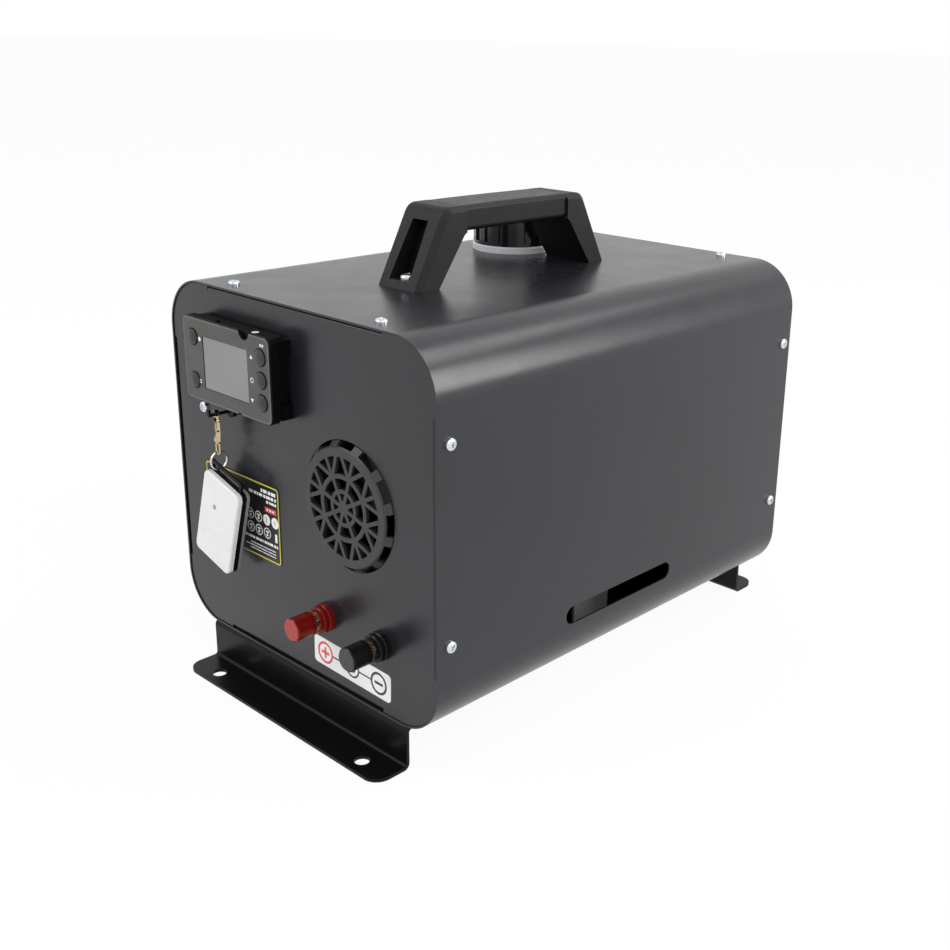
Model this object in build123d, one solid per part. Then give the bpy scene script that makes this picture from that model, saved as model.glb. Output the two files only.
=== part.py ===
"""Portable diesel air heater in a sheet-steel box, modelled piece by piece in millimetres.

Frame: +Z up, the front panel faces -Y, the slotted side faces +X. The origin lies on the
floor, in the middle of the four bolt holes in the feet.
"""

import os
from math import atan2, cos, degrees, hypot, radians, sin

from build123d import *

os.makedirs("parts", exist_ok=True)

# ---------------------------------------------------------------- casing
shell_width = 240.0
shell_height = 224.0
shell_length = 328.0
shell_corner_r = 31.0
casing_sheet = 1.2
panel_gap = 0.3  # between a panel's edge and the inside of the shell
panel_recess = 0.6  # panel face behind the shell's edge
bend_r = 2.6  # outside radius of a folded edge
flange_depth = 22.0
flange_lip = 8.0
top_flange_length = 158.0
side_flange_length = 146.0
bottom_flange_length = 148.0

# ---------------------------------------------------------------- feet
foot_height = 27.0
foot_width = 188.0
foot_sheet = 2.0
foot_reach = 23.0  # base flange in front of the web
foot_top_depth = 20.0
foot_corner_r = 10.0
foot_bend_r = 4.0
foot_hole_span = 142.0
foot_hole_reach = 13.5  # hole centre in front of the web
foot_hole_r = 4.5

# ---------------------------------------------------------------- screws
screw_r = 2.0
screw_head_r = 3.5
screw_head_height = 2.4
screw_length = 8.0
top_screw_edge = 11.0  # in from the shell's ends
side_screw_edge = 9.0
foot_screw_edge = 10.0
top_screw_x = 66.5
side_screw_z = (-55.0, 59.0)  # from the middle of the side
foot_screw_x = 50.0
screw_clearance = 0.2
thread_clearance = 0.05
panel_screw_edge = 30.2  # in from the casing's left side
panel_screw_z = 33.9  # above the middle of the panel

# ---------------------------------------------------------------- side slot
slot_length = 100.5
slot_height = 11.5
slot_y = -10.7
slot_z = -71.4  # from the middle of the side

# ---------------------------------------------------------------- handle
handle_x = 5.0
handle_y = -5.4
handle_width = 38.0
handle_base = 169.0  # outside length on the casing
handle_crown = 121.0  # outside length at the top
handle_height = 46.6
handle_rise = 0.4  # how much the top arches
handle_leg_foot = 17.0  # leg thickness on the casing
handle_leg_top = 14.8
handle_under = 31.5  # finger clearance under the grip
handle_chamfer = 3.4
handle_corner_r = 9.0
handle_under_r = 6.0
grip_inset = 1.6  # soft grip in from the legs' side faces
grip_edge_r = 3.0
grip_end_gap = 1.0  # grip ends before the legs' inner faces start
grip_core_width = 20.0
grip_core_drop = 4.0  # soft layer above and below the core
pocket_width = 17.6  # at its floor
pocket_top_width = 13.4
pocket_floor = 4.5
pocket_height = 34.0
pocket_depth = 16.5
pocket_top_depth = 29.5  # back wall in from the foot of the leg, at the pocket's top
handle_screw_inset = 9.5
handle_screw_r = 2.5
handle_screw_head_r = 4.8
handle_screw_head_height = 3.2
handle_screw_length = 13.0

# ---------------------------------------------------------------- filler
filler_x = -50.0
filler_y = 66.0
collar_r = 28.2
collar_height = 4.6
collar_chamfer = 0.8
cap_rim_height = 2.0
cap_rim_inset = 0.4  # in from the collar's edge
cap_body_r = 25.9
cap_rib_r = 27.4
cap_rib_width = 4.2
cap_ribs = 15
cap_rib_root = 1.0  # how deep a rib runs into the body
cap_rib_drop = 2.4  # top of the ribs below the cap's top
cap_edge_r = 1.6
cap_height = 24.0
cap_wall = 2.4
cap_gap = 0.3  # under the cap's rim
neck_r = 22.0
neck_wall = 3.0
neck_rise = 12.0  # above the casing
neck_clearance = 0.5

# ---------------------------------------------------------------- tank
tank_wall = 3.0
tank_side_gap = 4.8  # to the inside of the casing's left side
tank_right = -12.0
tank_front = -45.0
tank_rear = 138.0
tank_top_gap = 6.0
tank_corner_r = 30.0
tank_edge_r = 3.0

# ---------------------------------------------------------------- controller
unit_x = -42.6
unit_z = 69.9  # above the middle of the panel
unit_width = 86.0
unit_height = 50.8
unit_corner_r = 5.0
cradle_depth = 2.5
case_depth = 5.5
bezel_depth = 6.0
case_inset = 1.0
cradle_inset = 4.0
clip_width = 9.0
clip_z = 18.5
clip_sheet = 1.4
clip_reach = 7.5
clip_end_gap = 0.3
clip_side_gap = 0.5
lcd_width = 44.2
lcd_height = 31.3
lcd_shift_x = -0.7
lcd_shift_z = -0.7
lcd_recess = 0.8
lcd_thickness = 0.5
lcd_gap = 0.1
key_r = 4.7
key_gap = 0.15
key_seat_gap = 0.3  # under the bezel's inside
key_rise = 1.6
key_travel = 0.8
key_body = 3.0
key_flange_r = 5.6
key_flange = 0.8
left_key_x = -32.6
right_key_x = 34.3
key_pitch = 13.1
notch_x = 19.2
notch_r = 4.8
notch_depth = 2.2
step_x = -12.2  # the top edge drops behind the face from here on
step_drop = 1.0
step_lip = 1.6
foot_notch_x = 12.0
foot_notch_width = 3.4
foot_notch_height = 1.3
bezel_edge_r = 0.9

# ---------------------------------------------------------------- labels
label_thickness = 0.3
info_label_x = -55.0
info_label_z = -25.7
info_label_width = 76.0
info_label_height = 50.0
polarity_x = 46.5
polarity_rise = 19.0  # above the casing's lower edge
polarity_width = 68.5
polarity_height = 17.7
polarity_tilt = -1.6
label_corner_r = 2.6

# ---------------------------------------------------------------- terminals
terminal_x = (24.0, 73.2)
terminal_rise = 43.5  # above the casing's lower edge
terminal_reach = 25.0
collar_base_r = 8.6
collar_base_depth = 3.6
collar_groove_r = 7.2
collar_groove = 0.9
collar_top_r = 8.0
collar_top_depth = 2.4
collar_neck_r = 6.4
collar_neck = 1.4
collar_edge = 0.5
stud_r = 2.5
stud_inside = 14.0
neck_ring_r = 5.6
neck_ring_depth = 2.8
knob_r = 7.0
knob_gap = 0.3
knob_bore_gap = 0.05
knob_flutes = 24
knob_flute_r = 0.5
knob_flute_length = 3.0
knob_edge = 0.8
knob_top = 3.0  # solid end of the knob over the stud
stud_end_gap = 0.4
nut_r = 4.6
nut_height = 4.0

# ---------------------------------------------------------------- heater and its grille
duct_x = 48.2
duct_z = 7.0  # above the middle of the panel
panel_hole_r = 38.1
grille_face = 4.1  # in front of the panel
grille_thickness = 2.4
grille_bar = 2.4
grille_spokes = 8
grille_start = 28.0  # degrees of the first spoke
grille_tabs = 12
grille_tab_start = 14.0
grille_tab_width = 6.4
grille_tab_lap = 0.8  # the windows reach this far into the rim
grille_tab_drop = 0.9  # the rim's face stays this thick over them
grille_strut_lean = 0.43  # of the pitch between two spokes
hub_r = 4.2
inner_ring_r = 9.7
inner_ring_bar = 2.4
mid_ring_r = 18.3
mid_ring_bar = 2.7
rim_inner_r = 29.5
rim_outer_r = 34.2
skirt_r = 37.7
skirt_wall = 2.0
skirt_window = 6.0  # side windows reach this far behind the panel
skirt_flare = 3.7
case_front = 17.0  # heater case behind the front panel
case_width = 104.0
case_height = 100.0
case_length = 258.0
case_wall = 2.5
case_corner_r = 16.0

wheel_hub_r = 13.0
wheel_tip_r = 34.0
wheel_blades = 9
wheel_depth = 18.0
wheel_gap = 7.0
wheel_edge_r = 3.0
blade_chord = 17.0
blade_thickness = 1.6
blade_root_sink = 1.5  # how deep a blade runs into the hub
blade_root_chord = 13.6
blade_root_pitch = 50.0
blade_tip_pitch = 28.0
shaft_r = 2.5
shaft_gap = 0.05
motor_r = 23.0
motor_length = 46.0
motor_gap = 3.0
motor_edge = 2.0
bulkhead = 5.0
burner_wheel_r = 26.0
burner_wheel_disc = 1.6
burner_wheel_gap = 2.0
burner_vanes = 12
burner_vane_depth = 5.4
burner_vane = 1.4
burner_vane_sweep = 22.0
burner_vane_inset = 0.5
burner_room = 16.0
exchanger_core_r = 31.0
exchanger_fin_r = 43.5
exchanger_fins = 28
exchanger_fin = 1.8
exchanger_fin_root = 2.0  # how deep a fin runs into the core
exchanger_fin_inset = 6.0
exchanger_vent_r = 11.0
exchanger_vent_reach = 36.8
exchanger_pipe_gap = 1.0  # pipes below the fins
exchanger_length = 134.0
pipe_outer_r = 12.0
pipe_wall = 1.5
pipe_boss_wall = 2.0
pipe_end = 2.0  # closed end of a stub in its boss
exhaust_y = 48.0
burner_air_y = -20.0
pipe_floor_gap = 4.0
pipe_collar_r = 13.4
pipe_collar = 2.4
pipe_clearance = 0.6
pipe_plate_margin = 12.0
pipe_plate = 2.0
pipe_plate_corner_r = 6.0
bracket_sheet = 2.0
bracket_width = 34.0
bracket_foot = 12.0
bracket_ys = (-96.0, 12.0)
bracket_span = 28.0

outlet_r = 36.0
outlet_wall = 2.2
outlet_tail_step = 1.0  # the tail inside the casing is this much slimmer
outlet_reach = 27.0
outlet_flange_r = 46.0
outlet_flange = 2.2
outlet_screw_r = 41.5
outlet_screws = 4

# ---------------------------------------------------------------- fuel pump
pump_x = -66.0
pump_y = -98.0
pump_r = 13.5
pump_length = 72.0
pump_nose_r = 4.0
pump_nose = 12.0
pump_edge = 1.5
pump_lift = 10.0
pump_clamp_width = 24.0
pump_clamp_wall = 4.0

# ---------------------------------------------------------------- hook, clip and remote
hang_x = -60.6
hang_depth = 11.0  # chain in front of the panel
peg_r = 1.0
peg_reach = 16.4
peg_base_r = 4.0
peg_base = 1.6
peg_tip_rise = 2.6
peg_tip = 1.2
hang_gap = 0.05
peg_gap = 0.25
clip_z_top = 40.6  # top of the hook, above the middle of the panel
hook_inner_r = 2.8
hook_outer_r = 4.2
hook_mouth_x = 1.2
clip_body_top = 3.1  # below the hook's centre
clip_thickness = 2.6
clip_turn = -25.0  # degrees round the vertical, as it hangs
clip_body_width = 6.2
clip_neck_width = 4.4
clip_widest = 8.0  # below the hook's centre
clip_barrel_r = 2.1
clip_barrel = 3.0
clip_body_bottom = 15.2  # below the hook's centre
clip_window_width = 3.4
clip_window_top = 9.3
clip_window_bottom = 12.6
hook_mouth_top = 42.0  # degrees above the level where the hook's tip ends
gate_width = 1.3
gate_pivot_x = 2.0
gate_pivot_drop = 7.0
gate_pin_r = 0.6
gate_hub_r = 1.5
gate_slack = 0.12
gate_lug_r = 1.0
gate_lug_drop = 1.0
swivel_head_r = 1.6
swivel_head = 1.2
swivel_stem_r = 1.0
eye_bend = 1.7  # half width of the eye's wire, to its middle
eye_wire_r = 0.7
eye_straight = 3.6
eye_drop = 4.6  # eye centre below the clip's body
ring_r = 5.5
ring_wire_r = 0.7
fob_width = 36.0
fob_height = 58.0
fob_corner_r = 4.0
fob_frame_depth = 3.2
fob_cover_depth = 3.4
fob_front_depth = 2.5
fob_edge_r = 1.4
strap_rod_r = 1.1
strap_left = -16.0
strap_right = 13.0
strap_offset = 9.5  # ring left of the remote's middle
strap_gap = 0.1
strap_rise = 3.0  # ring wire above the remote's top edge
fob_key_r = 4.0
fob_key_rise = 0.6
fob_key_depth = 2.0
fob_key_flange_r = 4.8
fob_key_flange = 0.7
fob_key_gap = 0.15
fob_key_pocket = 1.6
fob_post_depth = 1.8
fob_key_pitch_x = 13.0
fob_key_pitch_z = 13.0

# ---------------------------------------------------------------- places that follow
front_y = -shell_length / 2
rear_y = shell_length / 2
shell_bottom = foot_height
shell_top = foot_height + shell_height
mid_z = foot_height + shell_height / 2
half_width = shell_width / 2
inner_bottom = shell_bottom + casing_sheet
inner_top = shell_top - casing_sheet
panel_inset = casing_sheet + panel_gap
tank_left = casing_sheet + tank_side_gap - half_width
panel_screw_x = panel_screw_edge - half_width
polarity_z = polarity_rise - shell_height / 2
terminal_z = terminal_rise - shell_height / 2



def facing_front(x, y, z):
    """Plane that faces forwards, with its x to the right."""
    return Plane(origin=(x, y, z), x_dir=(1, 0, 0), z_dir=(0, -1, 0))


def facing_rear(x, y, z):
    """Plane that faces backwards, as someone behind the heater sees it."""
    return Plane(origin=(x, y, z), x_dir=(-1, 0, 0), z_dir=(0, 1, 0))


panel_y = front_y + panel_recess
rear_panel_y = rear_y - panel_recess
FRONT = facing_front(0, panel_y, mid_z)
REAR = facing_rear(0, rear_panel_y, mid_z)
SHELL_FRONT = facing_front(0, front_y, mid_z)
RIGHT = Plane(origin=(half_width, 0, mid_z), x_dir=(0, 1, 0), z_dir=(1, 0, 0))
LEFT = Plane(origin=(-half_width, 0, mid_z), x_dir=(0, -1, 0), z_dir=(-1, 0, 0))
TOP = Plane(origin=(0, 0, shell_top))
DUCT = facing_front(duct_x, panel_y, mid_z + duct_z)
REAR_DUCT = facing_rear(duct_x, rear_panel_y, mid_z + duct_z)


def slab(plane, profile, start, end):
    """A profile carried from one distance to another along a plane's normal."""
    return extrude(plane.offset(start) * profile, end - start)


def disc(plane, radius, start, end):
    return slab(plane, Circle(radius), start, end)


def tube(plane, outer, inner, start, end):
    return slab(plane, Circle(outer) - Circle(inner), start, end)


def casing_outline(inset):
    """The casing's rounded outline, moved in by the given distance."""
    return RectangleRounded(
        shell_width - 2 * inset, shell_height - 2 * inset, shell_corner_r - inset
    )


def turned_dome(edge, shoulder, top):
    """A turned piece: the given edge from the axis outwards, closed by a round dome."""
    dome = TangentArc((0, top), shoulder, tangent=(1, 0))
    close = Line((0, top), edge @ 0)
    return revolve(Plane.XZ * make_face([edge, dome, close]), Axis.Z)


def pan_screw(shank_r, head_r, head_height, length):
    """A pan-head screw on the local Z axis, its head above the origin."""
    shoulder = head_height * 0.4
    edge = Polyline((0, -length), (shank_r, -length), (shank_r, 0), (head_r, 0), (head_r, shoulder))
    return turned_dome(edge, (head_r, shoulder), head_height)


def casing_screw():
    return pan_screw(screw_r, screw_head_r, screw_head_height, screw_length)


def casing_screw_places():
    """Where the casing screws enter the top and both sides."""
    places = []
    for end in (-1, 1):
        top_y = end * (shell_length / 2 - top_screw_edge)
        side_y = end * (shell_length / 2 - side_screw_edge)
        for x in (-top_screw_x, top_screw_x):
            places.append(TOP * Pos(x, top_y))
        for z in side_screw_z:
            places.append(RIGHT * Pos(side_y, z))
            places.append(LEFT * Pos(side_y, z))
    return places


def foot_screw_places():
    """Where the feet are screwed up into the casing from below."""
    along = shell_length / 2 - foot_screw_edge
    seat = shell_bottom - foot_sheet
    below = Plane(origin=(0, 0, seat), x_dir=(1, 0, 0), z_dir=(0, 0, -1))
    return [below * Pos(x, y) for x in (-foot_screw_x, foot_screw_x) for y in (-along, along)]


def handle_screw_places():
    seat = shell_top + pocket_floor
    along = handle_base / 2 - handle_screw_inset
    return [Pos(handle_x, handle_y + y, seat) for y in (-along, along)]


def at_each(places, solid):
    """Copies of one solid at every place."""
    return [place * solid for place in places]


def drill(body, places, radius, depth):
    """The body with a round hole bored both ways through every place."""
    bit = Cylinder(radius, 2 * depth)
    for hole in at_each(places, bit):
        body -= hole
    return body


# ================================================================ casing pieces
def make_shell():
    """Wrapped sheet tube with the holes that its neighbours need."""
    body = slab(SHELL_FRONT, casing_outline(0) - casing_outline(casing_sheet), -shell_length, 0)
    clearance_r = screw_r + screw_clearance
    body = drill(body, casing_screw_places(), clearance_r, 3 * casing_sheet)
    body = drill(body, foot_screw_places(), clearance_r, foot_sheet + 3 * casing_sheet)
    body = drill(body, handle_screw_places(), handle_screw_r + screw_clearance, handle_screw_length)
    window = Pos(slot_y, slot_z) * SlotOverall(slot_length, slot_height)
    body -= slab(RIGHT, window, -3 * casing_sheet, casing_sheet)
    body -= Pos(filler_x, filler_y, shell_top) * Cylinder(neck_r + neck_clearance, 6 * casing_sheet)
    for y in (burner_air_y, exhaust_y):
        body -= Pos(duct_x, y, shell_bottom) * Cylinder(
            pipe_outer_r + 2 * pipe_clearance, 6 * casing_sheet
        )
    return body


def folded_strip(length):
    """A panel's folded edge: a lip in the panel's plane and a flange behind its round bend."""
    outline = Polyline(
        (0, 0),
        (0, -flange_depth),
        (-casing_sheet, -flange_depth),
        (-casing_sheet, -casing_sheet),
        (-flange_lip, -casing_sheet),
        (-flange_lip, 0),
        close=True,
    )
    profile = make_face(outline)
    outer = profile.vertices().sort_by_distance((0, 0, 0))[0]
    profile = fillet(outer, bend_r)
    inner = profile.vertices().sort_by_distance((-casing_sheet, -casing_sheet, 0))[0]
    profile = fillet(inner, bend_r - casing_sheet)
    return extrude(profile, length / 2, both=True)


def make_folded_panel(plane, forward):
    """A flat end panel whose straight edges are folded into flanges inside the shell."""
    plate = casing_outline(panel_inset)
    half_w = shell_width / 2 - panel_inset
    half_h = shell_height / 2 - panel_inset
    edges = (
        ((0, 1), half_h, top_flange_length),
        ((0, -1), half_h, bottom_flange_length),
        ((1, 0), half_w, side_flange_length),
        ((-1, 0), half_w, side_flange_length),
    )
    strips = []
    for (ux, uz), reach, length in edges:
        middle = reach - flange_lip / 2
        size = (length, flange_lip) if ux == 0 else (flange_lip, length)
        plate -= Pos(ux * middle, uz * middle) * Rectangle(*size)
        outward = Vector(ux, 0, uz)
        bed = Plane(
            origin=(ux * reach, plane.origin.Y, mid_z + uz * reach),
            x_dir=outward,
            z_dir=outward.cross(Vector(0, forward, 0)),
        )
        strips.append(bed * folded_strip(length))
    body = slab(plane, plate, -casing_sheet, 0)
    for strip in strips:
        body += strip
    tapped_r = screw_r + thread_clearance
    body = drill(body, casing_screw_places(), tapped_r, 6 * casing_sheet)
    return drill(body, foot_screw_places(), tapped_r, foot_sheet + 6 * casing_sheet)


def make_front_panel():
    body = make_folded_panel(FRONT, -1)
    body -= disc(DUCT, panel_hole_r, -2 * casing_sheet, casing_sheet)
    for x in terminal_x:
        place = Pos(x, terminal_z)
        body -= slab(FRONT, place * Circle(stud_r + screw_clearance), -2 * casing_sheet, casing_sheet)
    screw_hole = Pos(panel_screw_x, panel_screw_z) * Circle(screw_r + thread_clearance)
    body -= slab(FRONT, screw_hole, -2 * casing_sheet, casing_sheet)
    return body


def outlet_screw_places():
    spots = PolarLocations(outlet_screw_r, outlet_screws, 45)
    return [REAR_DUCT.offset(outlet_flange) * Pos(spot.position) for spot in spots]


def make_rear_panel():
    body = make_folded_panel(REAR, 1)
    hole = Pos(-duct_x, duct_z) * Circle(outlet_r + 2 * panel_gap)
    body -= slab(REAR, hole, -2 * casing_sheet, casing_sheet)
    return drill(body, outlet_screw_places(), screw_r + thread_clearance, 6 * casing_sheet)


def make_foot(side):
    """A bent bracket: base flange on the floor, web, and a top flange under the casing."""
    web = front_y
    profile = make_face(
        Polyline(
            (web - foot_reach, 0),
            (web + foot_sheet, 0),
            (web + foot_sheet, foot_height - foot_sheet),
            (web + foot_top_depth, foot_height - foot_sheet),
            (web + foot_top_depth, foot_height),
            (web, foot_height),
            (web, foot_sheet),
            (web - foot_reach, foot_sheet),
            close=True,
        )
    )
    inner_r = foot_bend_r - foot_sheet
    for corner, radius in (
        ((web + foot_sheet, 0), foot_bend_r),
        ((web, foot_sheet), inner_r),
        ((web, foot_height), foot_bend_r),
        ((web + foot_sheet, foot_height - foot_sheet), inner_r),
    ):
        vertex = profile.vertices().sort_by_distance((*corner, 0))[0]
        profile = fillet(vertex, radius)
    body = extrude(Plane.YZ * profile, foot_width / 2, both=True)
    tips = body.edges().filter_by(Axis.Z).sort_by(Axis.Y)[:2]
    body = fillet(tips, foot_corner_r)
    for x in (-foot_hole_span / 2, foot_hole_span / 2):
        body -= Pos(x, web - foot_hole_reach) * Cylinder(foot_hole_r, 3 * foot_sheet)
    body = drill(body, foot_screw_places(), screw_r + screw_clearance, 4 * foot_sheet)
    if side > 0:
        body = mirror(body, Plane.XZ)
    return body


# ================================================================ handle
def handle_outline():
    """Side view of the handle, in its own height over the casing."""
    base = handle_base / 2
    crown = handle_crown / 2
    foot = base - handle_leg_foot
    under = crown - handle_leg_top
    top = ThreePointArc(
        (-crown, handle_height), (0, handle_height + handle_rise), (crown, handle_height)
    )
    sides = Polyline(
        (crown, handle_height),
        (base, 0),
        (foot, 0),
        (under, handle_under),
        (-under, handle_under),
        (-foot, 0),
        (-base, 0),
        (-crown, handle_height),
    )
    profile = make_face([top, sides])
    for corner, radius in (
        ((crown, handle_height), handle_corner_r),
        ((-crown, handle_height), handle_corner_r),
        ((under, handle_under), handle_under_r),
        ((-under, handle_under), handle_under_r),
    ):
        vertex = profile.vertices().sort_by_distance((*corner, 0))[0]
        profile = fillet(vertex, radius)
    return profile


def grip_zone():
    """The stretch between the legs that the soft grip covers."""
    reach = handle_crown / 2 - handle_leg_top - grip_end_gap
    return Pos(0, 0, shell_top) * Box(2 * handle_width, 2 * reach, 4 * handle_height)


def leg_pocket():
    """The hollow in a leg's outer face: its back wall leans with the leg, and it narrows upwards."""
    sections = []
    for z, width, depth in (
        (pocket_floor, pocket_width, pocket_depth),
        (pocket_floor + pocket_height, pocket_top_width, pocket_top_depth),
    ):
        back = handle_base / 2 - depth
        place = Pos(0, back + handle_base / 2, shell_top + z)
        sections.append(place * Rectangle(width, handle_base))
    return loft(sections, ruled=True)


def make_handle_body():
    """Two splayed legs joined by a slim core bar."""
    placed = Plane(origin=(0, 0, shell_top), x_dir=(0, 1, 0), z_dir=(1, 0, 0))
    solid = extrude(placed * handle_outline(), handle_width / 2, both=True)
    outer = solid.edges().filter_by(lambda e: abs(abs(e.center().X) - handle_width / 2) < 0.01)
    rim = outer.filter_by(lambda e: abs(e.center().Y) > handle_crown / 2 - 1)
    rim = rim.filter_by(lambda e: abs(e.center().Y) > handle_base / 2 - handle_leg_foot + 1)
    rim = rim.filter_by(lambda e: e.center().Z > shell_top + 1)
    solid = chamfer(rim, handle_chamfer)
    bar = Pos(0, 0, shell_top + (handle_under + handle_height) / 2) * Box(
        grip_core_width, handle_crown, handle_height - handle_under - 2 * grip_core_drop
    )
    legs = solid - grip_zone()
    body = legs + bar
    pocket = leg_pocket()
    body = body - pocket - mirror(pocket, Plane.XZ)
    body = Pos(handle_x, handle_y, 0) * body
    places = handle_screw_places()
    return drill(body, places, handle_screw_r + screw_clearance, handle_screw_length)


def make_handle_grip():
    """Soft sleeve moulded round the core bar."""
    placed = Plane(origin=(0, 0, shell_top), x_dir=(0, 1, 0), z_dir=(1, 0, 0))
    solid = extrude(placed * handle_outline(), handle_width / 2 - grip_inset, both=True)
    solid &= grip_zone()
    long_edges = solid.edges().filter_by(lambda e: e.length > handle_crown / 2)
    solid = fillet(long_edges, grip_edge_r)
    bar = Pos(0, 0, shell_top + (handle_under + handle_height) / 2) * Box(
        grip_core_width, 2 * handle_crown, handle_height - handle_under - 2 * grip_core_drop
    )
    return Pos(handle_x, handle_y, 0) * (solid - bar)


# ================================================================ tank and filler
def make_fuel_tank():
    """Hollow moulded tank with a neck through the casing's top."""
    size = Vector(
        tank_right - tank_left, tank_rear - tank_front, inner_top - tank_top_gap - inner_bottom
    )
    centre = Vector(
        (tank_left + tank_right) / 2,
        (tank_front + tank_rear) / 2,
        inner_bottom + size.Z / 2,
    )
    block = fillet(Box(*size).edges().filter_by(Axis.Y), tank_corner_r)
    block = fillet(block.edges().group_by(Axis.Y)[0], tank_edge_r)
    hollow = Box(*(size - Vector(1, 1, 1) * 2 * tank_wall))
    hollow = fillet(hollow.edges().filter_by(Axis.Y), tank_corner_r - tank_wall)
    top = inner_bottom + size.Z
    neck_height = shell_top + neck_rise - top
    root = tank_corner_r / 2
    neck = Pos(filler_x, filler_y, top + (neck_height - root) / 2) * Cylinder(
        neck_r, neck_height + root
    )
    bore = Pos(filler_x, filler_y, top) * Cylinder(neck_r - neck_wall, 2 * neck_height + 2)
    body = Pos(centre) * block + neck
    return body - Pos(centre) * hollow - bore


def make_filler_collar():
    """Pale sealing collar between the casing and the cap."""
    seat = Plane(origin=(filler_x, filler_y, shell_top))
    body = tube(seat, collar_r, neck_r + neck_clearance / 2, 0, collar_height)
    return chamfer(body.edges().group_by(Axis.Z)[-1].sort_by(SortBy.LENGTH)[-1], collar_chamfer)


def make_filler_cap():
    """Ribbed screw cap, hollow over the neck."""
    seat = Plane(origin=(filler_x, filler_y, shell_top + collar_height + cap_gap))
    rim = disc(seat, collar_r - cap_rim_inset, 0, cap_rim_height)
    body = disc(seat, cap_body_r, cap_rim_height, cap_height)
    body = fillet(body.edges().group_by(Axis.Z)[-1], cap_edge_r)
    ribs = Sketch()
    root = cap_body_r - cap_rib_root
    for spot in PolarLocations((root + cap_rib_r) / 2, cap_ribs):
        ribs += spot * Rectangle(cap_rib_r - root, cap_rib_width)
    body += slab(seat, ribs, cap_rim_height / 2, cap_height - cap_rib_drop)
    body += rim
    inside = neck_r + neck_clearance
    return body - disc(seat, inside, -1, cap_height - cap_wall)


# ================================================================ controller
def unit_plane(depth):
    """Plane in front of the panel, centred on the controller."""
    return facing_front(unit_x, panel_y - depth, mid_z + unit_z)


case_start = cradle_depth
bezel_start = cradle_depth + case_depth
unit_face = bezel_start + bezel_depth
unit_keys = {
    "key_settings": (left_key_x, key_pitch),
    "key_mode": (left_key_x, -key_pitch),
    "key_up": (right_key_x, key_pitch),
    "key_power": (right_key_x, 0.0),
    "key_down": (right_key_x, -key_pitch),
}


def make_cradle():
    """Holder on the panel with four spring clips over the controller's ends."""
    plate = RectangleRounded(
        unit_width - 2 * cradle_inset, unit_height - 2 * cradle_inset, unit_corner_r
    )
    body = slab(unit_plane(0), plate, 0, cradle_depth)
    side = unit_width / 2 - case_inset
    for dx in (-1, 1):
        for z in (-clip_z, clip_z):
            tongue = Pos(dx * (side + clip_sheet / 2), z) * Rectangle(clip_sheet, clip_width)
            body += slab(unit_plane(0), tongue, 0, clip_reach)
            reach = side + clip_sheet - (side - cradle_inset)
            root = Pos(dx * (side + clip_sheet - reach / 2), z) * Rectangle(reach, clip_width)
            body += slab(unit_plane(0), root, 0, cradle_depth)
    return body


def make_controller_case():
    shape = RectangleRounded(
        unit_width - 2 * case_inset, unit_height - 2 * case_inset, unit_corner_r
    )
    return slab(unit_plane(0), shape, case_start, bezel_start)


def make_controller_bezel():
    """Front shell with the window recess, key holes and the notch in its top edge."""
    shape = RectangleRounded(unit_width, unit_height, unit_corner_r)
    body = slab(unit_plane(0), shape, bezel_start, unit_face)
    body = fillet(body.edges().group_by(Axis.Y)[0], bezel_edge_r)
    window = Pos(lcd_shift_x, lcd_shift_z) * Rectangle(lcd_width, lcd_height)
    body -= slab(unit_plane(0), window, unit_face - lcd_recess, unit_face + 1)
    for x, z in unit_keys.values():
        spot = Pos(x, z)
        body -= slab(unit_plane(0), spot * Circle(key_r + key_gap), bezel_start, unit_face + 1)
        pocket = spot * Circle(key_flange_r + key_gap)
        body -= slab(unit_plane(0), pocket, bezel_start, bezel_start + key_body)
    side = unit_width / 2 - case_inset
    for dx in (-1, 1):
        for z in (-clip_z, clip_z):
            relief = Pos(dx * (side + unit_width / 2), z) * Rectangle(
                unit_width, clip_width + 2 * clip_side_gap
            )
            body -= slab(unit_plane(0), relief, bezel_start - 1, clip_reach + clip_end_gap)
    bite = Pos(notch_x, unit_height / 2) * Circle(notch_r)
    body -= slab(unit_plane(0), bite, unit_face - notch_depth, unit_face + 1)
    ledge = Pos(step_x + unit_width / 2, unit_height / 2) * Rectangle(unit_width, 2 * step_drop)
    body -= slab(unit_plane(0), ledge, bezel_start - 1, unit_face - step_lip)
    gap = Pos(foot_notch_x, -unit_height / 2) * Rectangle(foot_notch_width, 2 * foot_notch_height)
    return body - slab(unit_plane(0), gap, bezel_start - 1, unit_face + 1)


def make_lcd_window():
    window = Pos(lcd_shift_x, lcd_shift_z) * Rectangle(
        lcd_width - 2 * lcd_gap, lcd_height - 2 * lcd_gap
    )
    start = unit_face - lcd_recess
    return slab(unit_plane(0), window, start, start + lcd_thickness)


def domed_key(radius, face_rise, body_length, flange_r, flange):
    """A round key on the local Z axis: the flange starts below its face."""
    total = body_length + face_rise
    lip = total - 0.6 * face_rise
    edge = Polyline((0, 0), (flange_r, 0), (flange_r, flange), (radius, flange), (radius, lip))
    return turned_dome(edge, (radius, lip), total)


def make_unit_key(x, z):
    """A controller key, held by its flange, with its travel free behind it."""
    start = bezel_start + key_body - key_flange - key_seat_gap
    key = domed_key(key_r, key_rise, unit_face - start, key_flange_r, key_flange)
    return unit_plane(start) * Pos(x, z) * key


# ================================================================ labels
def make_info_label():
    shape = Pos(info_label_x, info_label_z) * RectangleRounded(
        info_label_width, info_label_height, label_corner_r
    )
    return slab(FRONT, shape, 0, label_thickness)


def make_polarity_label():
    shape = RectangleRounded(polarity_width, polarity_height, label_corner_r)
    placed = Pos(polarity_x, polarity_z) * Rot(0, 0, polarity_tilt) * shape
    return slab(FRONT, placed, 0, label_thickness)


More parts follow.
